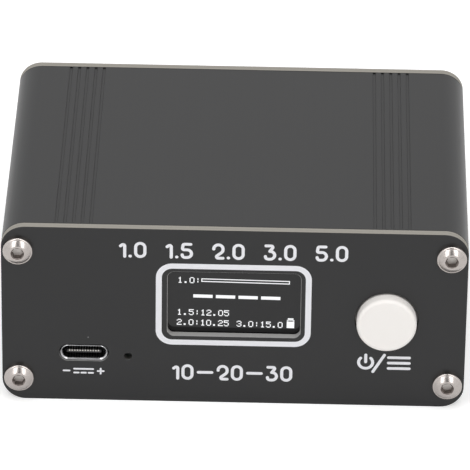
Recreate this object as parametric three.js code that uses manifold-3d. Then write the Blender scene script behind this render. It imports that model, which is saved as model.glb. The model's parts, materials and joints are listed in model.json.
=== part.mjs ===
// Radio power and standing-wave meter: a split aluminium case closed by two circuit-board panels,
// with a small graphic display, a push button and a charging socket at the front, and two coaxial
// sockets at the rear. Lengths are in millimetres. X runs to the right, Y from the front to the
// rear and Z up. The origin is the middle of the underside of the case.

import * as THREE from "three";
import { mergeVertices } from "three/addons/utils/BufferGeometryUtils.js";
import Module from "manifold-3d";

// Case: one extruded section, used twice, with the upper half turned over.
const caseWidth = 88;
const caseHeight = 38;
const caseLength = 61.5;
const caseCornerRadius = 4.5;
const caseWall = 1.8;
const lapHeight = 1.5;
const lapClearance = 0.2;
const grooveCount = 5;
const groovePitch = 1.63;
const grooveWidth = 0.5;
const grooveDepth = 0.4;
const grooveCentreX = 30;
const channelRadius = 2.6;
const channelBoreRadius = 1.75;
const channelSlotWidth = 1.6;
const railReach = 2.5;
const railThickness = 1;

// Panels: circuit board, as wide and high as the case.
const panelThickness = 1.6;
const panelHoleRadius = 1.75;

// Case screws: M3 button heads with a hexagon socket.
const screwInsetX = 3.2;
const screwInsetZ = 5;
const screwRadius = 1.5;
const screwLength = 10;
const screwHeadRadius = 2.85;
const screwHeadHeight = 1.65;
const screwHeadRim = 0.35;
const screwCrownRadius = 1.5;
const hexAcrossFlats = 2;
const hexDepth = 1;

// Clearances: play of a board in its slot, gap at a fit, gap round a piece that moves.
const boardPlay = 0.1;
const fitGap = 0.15;
const edgeGap = 0.3;
const cutOverrun = 1;

// Display window and the display behind it.
const windowWidth = 25.2;
const windowHeight = 14.2;
const windowRadius = 1.3;
const windowDrop = 0.8;
const glassWidth = 26.7;
const glassHeight = 19.3;
const glassThickness = 1.5;
const glassOffsetX = 0.4;
const moduleMargin = 0.5;
const moduleThickness = 1.2;
const headerWidth = 10.2;
const headerDepth = 2.5;

// Push button, its cap and the switch behind it.
const buttonInset = 15.1;
const buttonRadius = 5.75;
const buttonProud = 2.2;
const buttonEdge = 0.45;
const buttonWall = 1.2;
const buttonFaceThickness = 1.4;
const buttonFlangeRadius = 6.6;
const buttonFlangeThickness = 1;
const buttonPostRadius = 3.2;
const buttonTravel = 0.3;
const switchSide = 12;
const switchBaseDepth = 3.2;
const switchFloor = 1.1;
const switchWellRadius = 4.2;
const switchCoverThickness = 0.3;
const switchCoverHoleRadius = 3;
const stemSide = 3.8;
const stemProud = 3.8;
const stemDiscRadius = 3.7;
const stemDiscThickness = 0.9;
const domeRadius = 3.6;
const domeThickness = 0.2;
const domeRise = 0.6;
const domeSeatGap = 0.1;

// Boards inside the case.
const mainBoardThickness = 1.2;
const displayBoardThickness = 1.6;
const displayBoardLeft = 16;
const displayBoardMargin = 1.2;
const displayBoardHeadroom = 1.2;
const linkWidth = 25;
const linkSide = 2.5;

// Charging socket, the usual reversible 24-contact one.
const usbInset = 15.57;
const usbWidth = 8.94;
const usbHeight = 3.2;
const usbLength = 7.35;
const usbWall = 0.3;
const usbSetback = 0.1;
const usbCutGap = 0.25;
const tongueWidth = 6.7;
const tongueThickness = 0.7;
const tongueSetback = 0.9;
const tongueBaseDepth = 2.2;

// Charging light, behind a pinhole.
const ledPitch = 8.4;
const ledHoleRadius = 0.75;
const ledWidth = 2;
const ledDepth = 1.2;
const ledHeight = 2.06;

// Chips: size, and the gap to what each stands behind on the main board.
const controllerSide = 9;
const controllerHeight = 1.2;
const controllerX = -12;
const controllerGap = 4.8;
const chargerWidth = 5;
const chargerLength = 4;
const chargerHeight = 1.6;
const chargerGap = 5.9;
const diodeWidth = 4;
const diodeLength = 2.2;
const diodeHeight = 1.8;
const diodePairX = 20;
const diodeSpacing = 10;
const diodeSetback = 11;

// Coaxial sockets: 5/8 inch barrel, held by a washer and a nut.
const socketSpacing = 38;
const barrelRadius = 7.94;
const barrelLength = 16;
const barrelChamfer = 0.6;
const barrelHoleGap = 0.3;
const recessRadius = 6.2;
const recessDepth = 6;
const socketFlangeRadius = 9.4;
const socketFlangeThickness = 2.5;
const socketBossRadius = 6.5;
const socketBossLength = 1.5;
const insulatorHeadThickness = 2;
const insulatorShankRadius = 4.2;
const insulatorTail = 1;
const contactRadius = 2.8;
const contactBoreRadius = 2.05;
const contactBoreDepth = 10;
const contactSlitWidth = 0.5;
const contactSlitDepth = 5;
const contactTail = 5;
const contactTailRadius = 2.2;
const washerOuterRadius = 10.3;
const washerThickness = 0.8;
const nutAcrossFlats = 19.05;
const nutThickness = 3;
const nutGap = 0.25;
const nutChamfer = 0.5;

// Directional coupler: two wound ferrite rings, with a conductor through each.
const lineRadius = 0.8;
const sleeveRadius = 2.6;
const sleeveLength = 16;
const coreInnerRadius = 3.96;
const coreOuterRadius = 6.35;
const coreLength = 6.35;
const coreChamfer = 0.8;
const wireRadius = 0.3;
const wireGap = 0.35;
const windingTurns = 11;
const windingOpenDegrees = 60;
const currentCoreX = -6;
const voltageCoreX = 7;
const voltageCoreSetback = 12.15;
const senseRadius = 0.5;
const senseReach = 9;
const senseBend = 2;

// Battery, its pad, leads and plug.
const cellSideRoom = 19;
const cellFrontRoom = 4.8;
const cellThickness = 6.5;
const cellEdgeRadius = 2;
const padMargin = 6;
const padThickness = 0.5;
const plugInset = 12;
const plugWidth = 5;
const plugLength = 7.4;
const plugHeight = 6;
const plugProud = 2.4;
const headerWall = 0.8;
const headerFloor = 1;
const leadRadius = 0.7;
const leadSpacing = 2.5;

// Faces kept on round shapes. An outline's arc gets twice its count.
const cornerSegments = 3;
const crownSteps = 4;
const screwSides = 16;
const smallSides = 20;
const roundSides = 32;
const wireSides = 5;
const leadSides = 8;
const stepsPerTurn = 10;
const leadSteps = 18;

// Planes that the pieces share.
const caseFrontY = -caseLength / 2;
const caseRearY = caseLength / 2;
const frontFaceY = caseFrontY - panelThickness;
const rearFaceY = caseRearY + panelThickness;
const innerHalfWidth = caseWidth / 2 - caseWall;
const ceilingZ = caseHeight - caseWall;
const midZ = caseHeight / 2;
const screwX = caseWidth / 2 - screwInsetX;
const boardUnderZ = screwInsetZ + channelRadius + boardPlay;
const boardTopZ = boardUnderZ + mainBoardThickness;
const usbZ = boardTopZ + usbHeight / 2;
const ledZ = boardTopZ + ledHeight / 2;
const usbX = usbInset - caseWidth / 2;
const ledX = usbX + ledPitch;
const buttonX = caseWidth / 2 - buttonInset;
const buttonFlangeY = caseFrontY + edgeGap;
const buttonRearY = buttonFlangeY + buttonFlangeThickness;
const switchFrontY = buttonRearY + buttonTravel + edgeGap;
const switchBaseY = switchFrontY + switchCoverThickness;
const displayBoardY = switchBaseY + switchBaseDepth;
const displayBoardRearY = displayBoardY + displayBoardThickness;
const glassFrontY = caseFrontY + fitGap;
const moduleY = glassFrontY + glassThickness + fitGap;
const moduleRearY = moduleY + moduleThickness;
const glassCentreZ = (boardTopZ + ceilingZ) / 2;
const windowCentreZ = glassCentreZ - windowDrop;

const wasm = await Module();
wasm.setup();

// Turns a closed three.js geometry into a solid that can be joined and cut.
function solid(geometry) {
  const bare = geometry.clone();
  bare.deleteAttribute("normal");
  bare.deleteAttribute("uv");
  const merged = mergeVertices(bare);
  const corners = [];
  for (let i = 0; i < merged.index.count; i += 3) {
    const [a, b, c] = [0, 1, 2].map((k) => merged.index.getX(i + k));
    if (a !== b && b !== c && c !== a) corners.push(a, b, c);
  }
  return new wasm.Manifold(
    new wasm.Mesh({
      numProp: 3,
      vertProperties: new Float32Array(merged.attributes.position.array),
      triVerts: new Uint32Array(corners),
    }),
  );
}

// Turns a solid back into a three.js geometry with crisp edges.
function geometryOf(piece) {
  const mesh = piece.getMesh();
  const indexed = new THREE.BufferGeometry();
  indexed.setAttribute("position", new THREE.BufferAttribute(mesh.vertProperties, 3));
  indexed.setIndex(new THREE.BufferAttribute(mesh.triVerts, 1));
  const geometry = indexed.toNonIndexed();
  geometry.computeVertexNormals();
  return geometry;
}

// A block between two corners.
function block(x0, x1, y0, y1, z0, z1) {
  const geometry = new THREE.BoxGeometry(x1 - x0, y1 - y0, z1 - z0);
  geometry.translate((x0 + x1) / 2, (y0 + y1) / 2, (z0 + z1) / 2);
  return solid(geometry);
}

// A block that stands on a level, centred at x and y.
function chip(width, length, height, x, y, baseZ) {
  return block(
    x - width / 2,
    x + width / 2,
    y - length / 2,
    y + length / 2,
    baseZ,
    baseZ + height,
  );
}

// A plate with rounded corners, upright between two planes across Y.
function plate(width, height, radius, x, z, y0, y1) {
  const w = width / 2 - radius;
  const h = height / 2 - radius;
  const outline = new THREE.Shape();
  outline.absarc(w, h, radius, 0, Math.PI / 2);
  outline.absarc(-w, h, radius, Math.PI / 2, Math.PI);
  outline.absarc(-w, -h, radius, Math.PI, (3 * Math.PI) / 2);
  outline.absarc(w, -h, radius, (3 * Math.PI) / 2, 2 * Math.PI);
  const geometry = new THREE.ExtrudeGeometry(outline, {
    depth: y1 - y0,
    bevelEnabled: false,
    curveSegments: cornerSegments,
  });
  geometry.rotateX(Math.PI / 2);
  geometry.translate(x, y1, z);
  return solid(geometry);
}

// A round or many-sided rod along Y; its radius reaches the corners.
function rod(radius, x, z, y0, y1, sides = roundSides, turn = 0) {
  const geometry = new THREE.CylinderGeometry(radius, radius, y1 - y0, sides);
  geometry.rotateY(turn);
  geometry.translate(x, (y0 + y1) / 2, z);
  return solid(geometry);
}

// A solid of revolution about an axis along Y, from [radius, y] points that run towards +Y outside.
function turned(points, x, z, sides = roundSides) {
  const profile = points.map(([r, y]) => new THREE.Vector2(r, y));
  const geometry = new THREE.LatheGeometry(profile, sides);
  geometry.translate(x, 0, z);
  return solid(geometry);
}

// A round tube that follows a curve, closed at both ends.
function wire(points, radius, sides, steps) {
  const rim = [];
  for (let i = 0; i < sides; i += 1) {
    const angle = (i / sides) * 2 * Math.PI;
    rim.push(new THREE.Vector2(radius * Math.cos(angle), radius * Math.sin(angle)));
  }
  const geometry = new THREE.ExtrudeGeometry(new THREE.Shape(rim), {
    steps,
    bevelEnabled: false,
    extrudePath: new THREE.CatmullRomCurve3(points, false, "centripetal"),
  });
  return solid(geometry);
}

// One half of the case as the lower one, about the middle of the whole section.
function makeCaseHalf() {
  const half = caseHeight / 2;
  const lip = (caseWall - lapClearance) / 2;
  const inside = plate(
    caseWidth - 2 * caseWall,
    caseHeight - 2 * caseWall,
    caseCornerRadius - caseWall,
    0,
    0,
    caseFrontY - cutOverrun,
    caseRearY + cutOverrun,
  );
  const full = plate(caseWidth, caseHeight, caseCornerRadius, 0, 0, caseFrontY, caseRearY);
  let shell = full.subtract(inside).subtract(
    block(
      -caseWidth,
      caseWidth,
      caseFrontY - cutOverrun,
      caseRearY + cutOverrun,
      0,
      half + cutOverrun,
    ),
  );

  // Rails for the board and channels for the screws, on both sides.
  const slotLow = boardUnderZ - boardPlay - half;
  const slotHigh = boardTopZ + boardPlay - half;
  for (const side of [-1, 1]) {
    const wallX = side * (innerHalfWidth + lip);
    const railX = side * (innerHalfWidth - railReach);
    const [low, high] = [Math.min(wallX, railX), Math.max(wallX, railX)];
    const under = block(low, high, caseFrontY, caseRearY, slotLow - railThickness, slotLow);
    const over = block(low, high, caseFrontY, caseRearY, slotHigh, slotHigh + railThickness);
    const channelZ = screwInsetZ - half;
    const channel = rod(channelRadius, side * screwX, channelZ, caseFrontY, caseRearY, smallSides);
    const bore = rod(
      channelBoreRadius,
      side * screwX,
      channelZ,
      caseFrontY - cutOverrun,
      caseRearY + cutOverrun,
      smallSides,
    );
    const inward = side * (screwX - channelRadius - cutOverrun);
    const slot = block(
      Math.min(side * screwX, inward),
      Math.max(side * screwX, inward),
      caseFrontY - cutOverrun,
      caseRearY + cutOverrun,
      channelZ - channelSlotWidth / 2,
      channelZ + channelSlotWidth / 2,
    );
    shell = shell.add(under).add(over).add(channel).subtract(bore).subtract(slot);
  }

  // Lap joint: a lip on the right, and the room for the other half's lip on the left.
  const lipUp = block(
    innerHalfWidth,
    innerHalfWidth + lip,
    caseFrontY,
    caseRearY,
    -lapHeight,
    lapHeight,
  );
  const lipRoom = block(
    -innerHalfWidth - lip - lapClearance,
    -innerHalfWidth + cutOverrun,
    caseFrontY - cutOverrun,
    caseRearY + cutOverrun,
    -lapHeight - lapClearance,
    cutOverrun,
  );
  shell = shell.add(lipUp).subtract(lipRoom);

  // Fine grooves along the broad face.
  for (const side of [-1, 1]) {
    for (let i = 0; i < grooveCount; i += 1) {
      const x = side * grooveCentreX + (i - (grooveCount - 1) / 2) * groovePitch;
      shell = shell.subtract(
        block(
          x - grooveWidth / 2,
          x + grooveWidth / 2,
          caseFrontY - cutOverrun,
          caseRearY + cutOverrun,
          -half - cutOverrun,
          -half + grooveDepth,
        ),
      );
    }
  }
  return shell;
}

// The four screw places of a panel, named by corner.
const corners = [
  ["top_left", -screwX, caseHeight - screwInsetZ],
  ["top_right", screwX, caseHeight - screwInsetZ],
  ["bottom_left", -screwX, screwInsetZ],
  ["bottom_right", screwX, screwInsetZ],
];

// A bare panel with its screw holes, between two planes.
function makePanel(y0, y1) {
  let panel = plate(caseWidth, caseHeight, caseCornerRadius, 0, midZ, y0, y1);
  for (const [, x, z] of corners)
    panel = panel.subtract(
      rod(panelHoleRadius, x, z, y0 - cutOverrun, y1 + cutOverrun, smallSides),
    );
  return panel;
}

// Front panel: display window, button hole, charging slot and pinhole.
function makeFrontPanel() {
  const y0 = frontFaceY - cutOverrun;
  const y1 = caseFrontY + cutOverrun;
  const slotHeight = usbHeight + 2 * usbCutGap;
  return makePanel(frontFaceY, caseFrontY)
    .subtract(plate(windowWidth, windowHeight, windowRadius, 0, windowCentreZ, y0, y1))
    .subtract(rod(buttonRadius + edgeGap, buttonX, midZ, y0, y1))
    .subtract(
      plate(usbWidth + 2 * usbCutGap, slotHeight, slotHeight / 2 - fitGap, usbX, usbZ, y0, y1),
    )
    .subtract(rod(ledHoleRadius, ledX, ledZ, y0, y1, smallSides));
}

// Rear panel: two holes for the coaxial sockets.
function makeRearPanel() {
  let panel = makePanel(caseRearY, rearFaceY);
  for (const side of [-1, 1])
    panel = panel.subtract(
      rod(
        barrelRadius + barrelHoleGap,
        (side * socketSpacing) / 2,
        midZ,
        caseRearY - cutOverrun,
        rearFaceY + cutOverrun,
      ),
    );
  return panel;
}

// A case screw about its own axis: head at -Y, shank towards +Y, seat at zero.
function makeScrew() {
  const crown = [];
  for (let i = 0; i <= crownSteps; i += 1) {
    const angle = ((i / crownSteps) * Math.PI) / 2;
    crown.push([
      screwCrownRadius + (screwHeadRadius - screwCrownRadius) * Math.sin(angle),
      -screwHeadRim - (screwHeadHeight - screwHeadRim) * Math.cos(angle),
    ]);
  }
  const body = turned(
    [
      [0, -screwHeadHeight],
      ...crown,
      [screwHeadRadius, 0],
      [screwRadius, 0],
      [screwRadius, screwLength - screwRadius / 2],
      [screwRadius / 2, screwLength],
      [0, screwLength],
    ],
    0,
    0,
    screwSides,
  );
  const hexRadius = hexAcrossFlats / Math.sqrt(3);
  return body.subtract(
    rod(hexRadius, 0, 0, -screwHeadHeight - cutOverrun, hexDepth - screwHeadHeight, 6),
  );
}

// Button cap: a face, a wall, a flange behind the panel and a post for the stem.
function makeButtonCap() {
  const faceY = frontFaceY - buttonProud;
  const roundness = [];
  for (let i = 0; i <= crownSteps; i += 1) {
    const angle = ((i / crownSteps) * Math.PI) / 2;
    roundness.push([
      buttonRadius - buttonEdge + buttonEdge * Math.sin(angle),
      faceY + buttonEdge - buttonEdge * Math.cos(angle),
    ]);
  }
  const cap = turned(
    [
      [0, faceY],
      ...roundness,
      [buttonRadius, buttonFlangeY],
      [buttonFlangeRadius, buttonFlangeY],
      [buttonFlangeRadius, buttonRearY],
      [buttonRadius - buttonWall, buttonRearY],
      [buttonRadius - buttonWall, faceY + buttonFaceThickness],
      [buttonPostRadius, faceY + buttonFaceThickness],
      [buttonPostRadius, buttonRearY],
      [0, buttonRearY],
    ],
    buttonX,
    midZ,
  );
  const half = stemSide / 2 + fitGap;
  return cap.subtract(
    block(
      buttonX - half,
      buttonX + half,
      switchFrontY - stemProud - fitGap,
      buttonRearY + cutOverrun,
      midZ - half,
      midZ + half,
    ),
  );
}

// Switch stem: a square post on a disc that the cover keeps in.
function makeSwitchStem() {
  const discY = switchBaseY + fitGap;
  const half = stemSide / 2;
  return rod(stemDiscRadius, buttonX, midZ, discY, discY + stemDiscThickness, smallSides).add(
    block(
      buttonX - half,
      buttonX + half,
      switchFrontY - stemProud,
      discY + stemDiscThickness / 2,
      midZ - half,
      midZ + half,
    ),
  );
}

// Switch base: a square block with a round well for the dome and the stem's disc.
function makeSwitchBase() {
  const half = switchSide / 2;
  return block(
    buttonX - half,
    buttonX + half,
    switchBaseY,
    displayBoardY,
    midZ - half,
    midZ + half,
  ).subtract(
    rod(
      switchWellRadius,
      buttonX,
      midZ,
      switchBaseY - cutOverrun,
      displayBoardY - switchFloor,
      smallSides,
    ),
  );
}

// Switch cover: a thin steel square with a round hole.
function makeSwitchCover() {
  const half = switchSide / 2;
  return block(
    buttonX - half,
    buttonX + half,
    switchFrontY,
    switchBaseY,
    midZ - half,
    midZ + half,
  ).subtract(
    rod(
      switchCoverHoleRadius,
      buttonX,
      midZ,
      switchFrontY - cutOverrun,
      switchBaseY + cutOverrun,
      smallSides,
    ),
  );
}

// Snap dome: a shallow sprung cap that bulges towards the stem.
function makeSnapDome() {
  const rimY = displayBoardY - switchFloor - domeSeatGap;
  const bulge = (share) => domeRise * (1 - share * share);
  const outer = [];
  const inner = [];
  for (let i = 0; i <= crownSteps; i += 1) {
    const share = i / crownSteps;
    outer.push([domeRadius * share, rimY - domeThickness - bulge(share)]);
    inner.unshift([domeRadius * share, rimY - bulge(share)]);
  }
  return turned([...outer, ...inner], buttonX, midZ, smallSides);
}

// Charging socket shell: a rounded steel tube that stands on the main board.
function makeUsbShell() {
  const y0 = frontFaceY + usbSetback;
  const y1 = y0 + usbLength;
  const innerHeight = usbHeight - 2 * usbWall;
  return plate(usbWidth, usbHeight, usbHeight / 2 - fitGap, usbX, usbZ, y0, y1).subtract(
    plate(
      usbWidth - 2 * usbWall,
      innerHeight,
      innerHeight / 2 - fitGap,
      usbX,
      usbZ,
      y0 - cutOverrun,
      y1 + cutOverrun,
    ),
  );
}

// Charging socket tongue: the flat blade with its base block.
function makeUsbTongue() {
  const y0 = frontFaceY + usbSetback;
  const y1 = y0 + usbLength;
  const baseHeight = usbHeight - 2 * (usbWall + fitGap);
  const base = plate(
    usbWidth - 2 * (usbWall + fitGap),
    baseHeight,
    baseHeight / 2 - fitGap,
    usbX,
    usbZ,
    y1 - tongueBaseDepth,
    y1,
  );
  return base.add(
    block(
      usbX - tongueWidth / 2,
      usbX + tongueWidth / 2,
      y0 + tongueSetback,
      y1 - tongueBaseDepth / 2,
      usbZ - tongueThickness / 2,
      usbZ + tongueThickness / 2,
    ),
  );
}

// Coaxial socket planes, from the rear panel outwards and inwards.
const mouthY = caseRearY + barrelLength;
const recessFloorY = mouthY - recessDepth;
const seatY = recessFloorY - insulatorHeadThickness;
const flangeRearY = caseRearY - socketFlangeThickness;
const bossRearY = flangeRearY - socketBossLength;
const insulatorRearY = bossRearY - insulatorTail;
const contactRearY = insulatorRearY - contactTail;

// Socket shell: inner flange, barrel and stepped bore.
function makeSocketShell(x) {
  return turned(
    [
      [insulatorShankRadius, seatY],
      [insulatorShankRadius, bossRearY],
      [socketBossRadius, bossRearY],
      [socketBossRadius, flangeRearY],
      [socketFlangeRadius, flangeRearY],
      [socketFlangeRadius, caseRearY],
      [barrelRadius, caseRearY],
      [barrelRadius, mouthY - barrelChamfer],
      [barrelRadius - barrelChamfer, mouthY],
      [recessRadius, mouthY],
      [recessRadius, seatY],
      [insulatorShankRadius, seatY],
    ],
    x,
    midZ,
  );
}

// Socket insulator: a head that closes the recess and a shank through the shell.
function makeSocketInsulator(x) {
  const holeRadius = contactRadius + fitGap;
  const shankRadius = insulatorShankRadius - fitGap;
  const headRadius = recessRadius - fitGap;
  return turned(
    [
      [holeRadius, insulatorRearY],
      [shankRadius, insulatorRearY],
      [shankRadius, seatY + fitGap],
      [headRadius, seatY + fitGap],
      [headRadius, recessFloorY],
      [holeRadius, recessFloorY],
      [holeRadius, insulatorRearY],
    ],
    x,
    midZ,
    smallSides,
  );
}

// Socket contact: a slit tube with a solder tail behind it.
function makeSocketContact(x) {
  let contact = turned(
    [
      [0, contactRearY],
      [contactTailRadius, contactRearY],
      [contactTailRadius, insulatorRearY],
      [contactRadius, insulatorRearY],
      [contactRadius, recessFloorY],
      [contactBoreRadius, recessFloorY],
      [contactBoreRadius, recessFloorY - contactBoreDepth],
      [0, recessFloorY - contactBoreDepth],
    ],
    x,
    midZ,
    smallSides,
  );
  const reach = contactRadius + cutOverrun;
  const half = contactSlitWidth / 2;
  for (const [w, h] of [
    [reach, half],
    [half, reach],
  ])
    contact = contact.subtract(
      block(
        x - w,
        x + w,
        recessFloorY - contactSlitDepth,
        recessFloorY + cutOverrun,
        midZ - h,
        midZ + h,
      ),
    );
  return contact;
}

// Lock washer between the panel and the nut.
function makeWasher(x) {
  const holeRadius = barrelRadius + nutGap;
  return turned(
    [
      [holeRadius, rearFaceY],
      [washerOuterRadius, rearFaceY],
      [washerOuterRadius, rearFaceY + washerThickness],
      [holeRadius, rearFaceY + washerThickness],
      [holeRadius, rearFaceY],
    ],
    x,
    midZ,
  );
}

// Hexagon nut with its corners turned off on the outer side.
function makeNut(x) {
  const y0 = rearFaceY + washerThickness;
  const y1 = y0 + nutThickness;
  const cornerRadius = nutAcrossFlats / Math.sqrt(3);
  const turnedRadius = nutAcrossFlats / 2 + nutChamfer / 2;
  const envelope = turned(
    [
      [0, y0],
      [cornerRadius, y0],
      [cornerRadius, y1 - nutChamfer],
      [turnedRadius, y1],
      [0, y1],
    ],
    x,
    midZ,
  );
  return rod(cornerRadius, x, midZ, y0, y1, 6, Math.PI / 6)
    .intersect(envelope)
    .subtract(rod(barrelRadius + nutGap, x, midZ, y0 - cutOverrun, y1 + cutOverrun));
}

// Coupler planes: the line runs behind the two solder tails.
const lineY = contactRearY - fitGap - lineRadius;
const voltageCoreY = lineY - voltageCoreSetback;
const windingReach = wireGap + wireRadius;
const voltageCoreZ = boardTopZ + edgeGap + 2 * wireRadius + wireGap + coreOuterRadius;

// A ferrite ring about an axis along X.
function makeCore(x, y, z) {
  const half = coreLength / 2;
  const ring = turned(
    [
      [coreInnerRadius + coreChamfer, -half],
      [coreOuterRadius - coreChamfer, -half],
      [coreOuterRadius, coreChamfer - half],
      [coreOuterRadius, half - coreChamfer],
      [coreOuterRadius - coreChamfer, half],
      [coreInnerRadius + coreChamfer, half],
      [coreInnerRadius, half - coreChamfer],
      [coreInnerRadius, coreChamfer - half],
      [coreInnerRadius + coreChamfer, -half],
    ],
    0,
    0,
    smallSides,
  );
  return ring.rotate([0, 0, -90]).translate([x, y, z]);
}

// Route of the wire wound round a ring in one unbroken run, with both ends down on the board.
function windingRoute(x, y, z) {
  const middle = (coreInnerRadius + coreOuterRadius) / 2;
  const across = (coreOuterRadius - coreInnerRadius) / 2 + windingReach;
  const along = coreLength / 2 + windingReach;
  const squared = (value) => Math.sign(value) * Math.sqrt(Math.abs(value));
  const open = THREE.MathUtils.degToRad(windingOpenDegrees);
  const steps = windingTurns * stepsPerTurn;
  const points = [];
  for (let i = 0; i <= steps; i += 1) {
    const round = -Math.PI / 2 + open / 2 + (i / steps) * (2 * Math.PI - open);
    const wrap = ((i % stepsPerTurn) / stepsPerTurn) * 2 * Math.PI;
    const radius = middle + across * squared(Math.cos(wrap));
    points.push(
      new THREE.Vector3(
        x + along * squared(Math.sin(wrap)),
        y + radius * Math.cos(round),
        z + radius * Math.sin(round),
      ),
    );
  }
  const foot = (point) => new THREE.Vector3(point.x, point.y, boardTopZ + fitGap);
  return [foot(points[0]), ...points, foot(points[steps])];
}

// The line between the two solder tails: a straight bar along X.
function makeLineConductor() {
  const reach = socketSpacing / 2 + contactTailRadius;
  const bar = new THREE.CylinderGeometry(lineRadius, lineRadius, 2 * reach, smallSides);
  bar.rotateZ(Math.PI / 2);
  bar.translate(0, lineY, midZ);
  return solid(bar);
}

// The sleeve that keeps the line clear of the first ring's winding.
function makeLineSleeve() {
  const half = sleeveLength / 2;
  const holeRadius = lineRadius + edgeGap;
  return turned(
    [
      [holeRadius, -half],
      [sleeveRadius, -half],
      [sleeveRadius, half],
      [holeRadius, half],
      [holeRadius, -half],
    ],
    0,
    0,
    smallSides,
  )
    .rotate([0, 0, -90])
    .translate([currentCoreX, lineY, midZ]);
}

// Route of the sensing conductor: a staple through the second ring, standing on the board.
function senseRoute() {
  const footZ = boardTopZ + fitGap;
  const bend = senseBend;
  const [left, right] = [voltageCoreX - senseReach, voltageCoreX + senseReach];
  const at = (x, z) => new THREE.Vector3(x, voltageCoreY, z);
  const shoulder = bend * (1 - Math.SQRT1_2);
  return [
    at(left, footZ),
    at(left, voltageCoreZ - bend),
    at(left + shoulder, voltageCoreZ - shoulder),
    at(left + bend, voltageCoreZ),
    at(right - bend, voltageCoreZ),
    at(right - shoulder, voltageCoreZ - shoulder),
    at(right, voltageCoreZ - bend),
    at(right, footZ),
  ];
}

// Battery planes: the pad is stuck to the ceiling and the cell to the pad.
const cellFrontY = displayBoardRearY + cellFrontRoom;
const cellRearY = voltageCoreY - coreOuterRadius - windingReach - wireRadius - edgeGap;
const cellY = (cellFrontY + cellRearY) / 2;
const cellLeftX = cellSideRoom - caseWidth / 2;
const plugX = plugInset - caseWidth / 2;
const cellTopZ = ceilingZ - padThickness;
const cellZ = cellTopZ - cellThickness / 2;
const headerTopZ = boardTopZ + plugHeight;
const plugTopZ = headerTopZ + plugProud;

// Battery connector: an open box on the board, and the plug that sits in it.
function makeBatteryHeader() {
  const room = fitGap + headerWall;
  return chip(
    plugWidth + 2 * room,
    plugLength + 2 * room,
    plugHeight,
    plugX,
    cellY,
    boardTopZ,
  ).subtract(
    chip(
      plugWidth + 2 * fitGap,
      plugLength + 2 * fitGap,
      plugHeight,
      plugX,
      cellY,
      boardTopZ + headerFloor,
    ),
  );
}

function makeBatteryPlug() {
  const baseZ = boardTopZ + headerFloor + fitGap;
  return chip(plugWidth, plugLength, plugTopZ - baseZ, plugX, cellY, baseZ);
}

// Route of one lead, from the top of the plug up and over into the side of the cell.
function leadRoute(side) {
  const y = cellY + (side * leadSpacing) / 2;
  const startZ = plugTopZ + fitGap;
  const endX = cellLeftX - fitGap;
  const rise = cellZ - startZ;
  const run = endX - plugX;
  const routeShares = [
    [0, 0],
    [0, 0.3],
    [0, 0.6],
    [0.12, 0.84],
    [0.45, 0.98],
    [0.75, 1],
    [1, 1],
  ];
  return routeShares.map(
    ([across, up]) => new THREE.Vector3(plugX + across * run, y, startZ + up * rise),
  );
}

// Finishes: colour, roughness and metalness.
const finishes = {
  anodised: [0x3f3f40, 0.5, 0.5],
  solderMask: [0x323233, 0.45, 0],
  stainless: [0xc9c6c2, 0.25, 1],
  nickel: [0xc4c3be, 0.22, 1],
  tin: [0xb9bbbd, 0.3, 1],
  whitePlastic: [0xefebe6, 0.4, 0],
  blackPlastic: [0x1b1b1c, 0.5, 0],
  fluoropolymer: [0xf2f2ee, 0.4, 0],
  gilt: [0xd6ad5a, 0.3, 1],
  spring: [0xb4b6b8, 0.3, 1],
  glass: [0x17181b, 0.08, 0],
  greenBoard: [0x1f5a35, 0.45, 0],
  ferrite: [0x3a3b3d, 0.7, 0],
  enamelled: [0xa4552a, 0.35, 0.8],
  copper: [0xc47a4e, 0.3, 1],
  foil: [0xa9adb2, 0.35, 0.7],
  foam: [0x2b2b2c, 0.9, 0],
  redRubber: [0xa81d1d, 0.5, 0],
  blackRubber: [0x18181a, 0.5, 0],
  lamp: [0xd9dde0, 0.3, 0],
};

const meter = new THREE.Group();

// Adds one named piece, with a material of its own.
function add(name, piece, finish, parent = meter) {
  const [color, roughness, metalness] = finishes[finish];
  const material = new THREE.MeshStandardMaterial({ color, roughness, metalness });
  const mesh = new THREE.Mesh(geometryOf(piece), material);
  mesh.name = name;
  parent.add(mesh);
  return mesh;
}

// Case and panels.
const caseHalf = makeCaseHalf();
add("case_bottom", caseHalf, "anodised").position.set(0, 0, midZ);
const upperHalf = add("case_top", caseHalf, "anodised");
upperHalf.position.set(0, 0, midZ);
upperHalf.rotation.set(0, Math.PI, 0);
add("front_panel", makeFrontPanel(), "solderMask");
add("rear_panel", makeRearPanel(), "solderMask");

// Case screws, at the front and, turned round, at the rear.
const screw = makeScrew();
for (const [corner, x, z] of corners) {
  add(`screw_front_${corner}`, screw, "stainless").position.set(x, frontFaceY, z);
  const rear = add(`screw_rear_${corner}`, screw, "stainless");
  rear.position.set(x, rearFaceY, z);
  rear.rotation.set(0, 0, Math.PI);
}

// Display: glass, its module board and the header that carries it.
const moduleHeight = glassHeight + 2 * moduleMargin;
const moduleLowZ = glassCentreZ - moduleHeight / 2;
add(
  "oled_glass",
  block(
    glassOffsetX - glassWidth / 2,
    glassOffsetX + glassWidth / 2,
    glassFrontY,
    glassFrontY + glassThickness,
    glassCentreZ - glassHeight / 2,
    glassCentreZ + glassHeight / 2,
  ),
  "glass",
);
add(
  "oled_board",
  block(
    glassOffsetX - glassWidth / 2 - moduleMargin,
    glassOffsetX + glassWidth / 2 + moduleMargin,
    moduleY,
    moduleRearY,
    moduleLowZ,
    moduleLowZ + moduleHeight,
  ),
  "greenBoard",
);
add(
  "oled_header",
  block(
    glassOffsetX - headerWidth / 2,
    glassOffsetX + headerWidth / 2,
    moduleRearY,
    displayBoardY,
    moduleLowZ,
    moduleLowZ + headerDepth,
  ),
  "blackPlastic",
);

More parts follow.
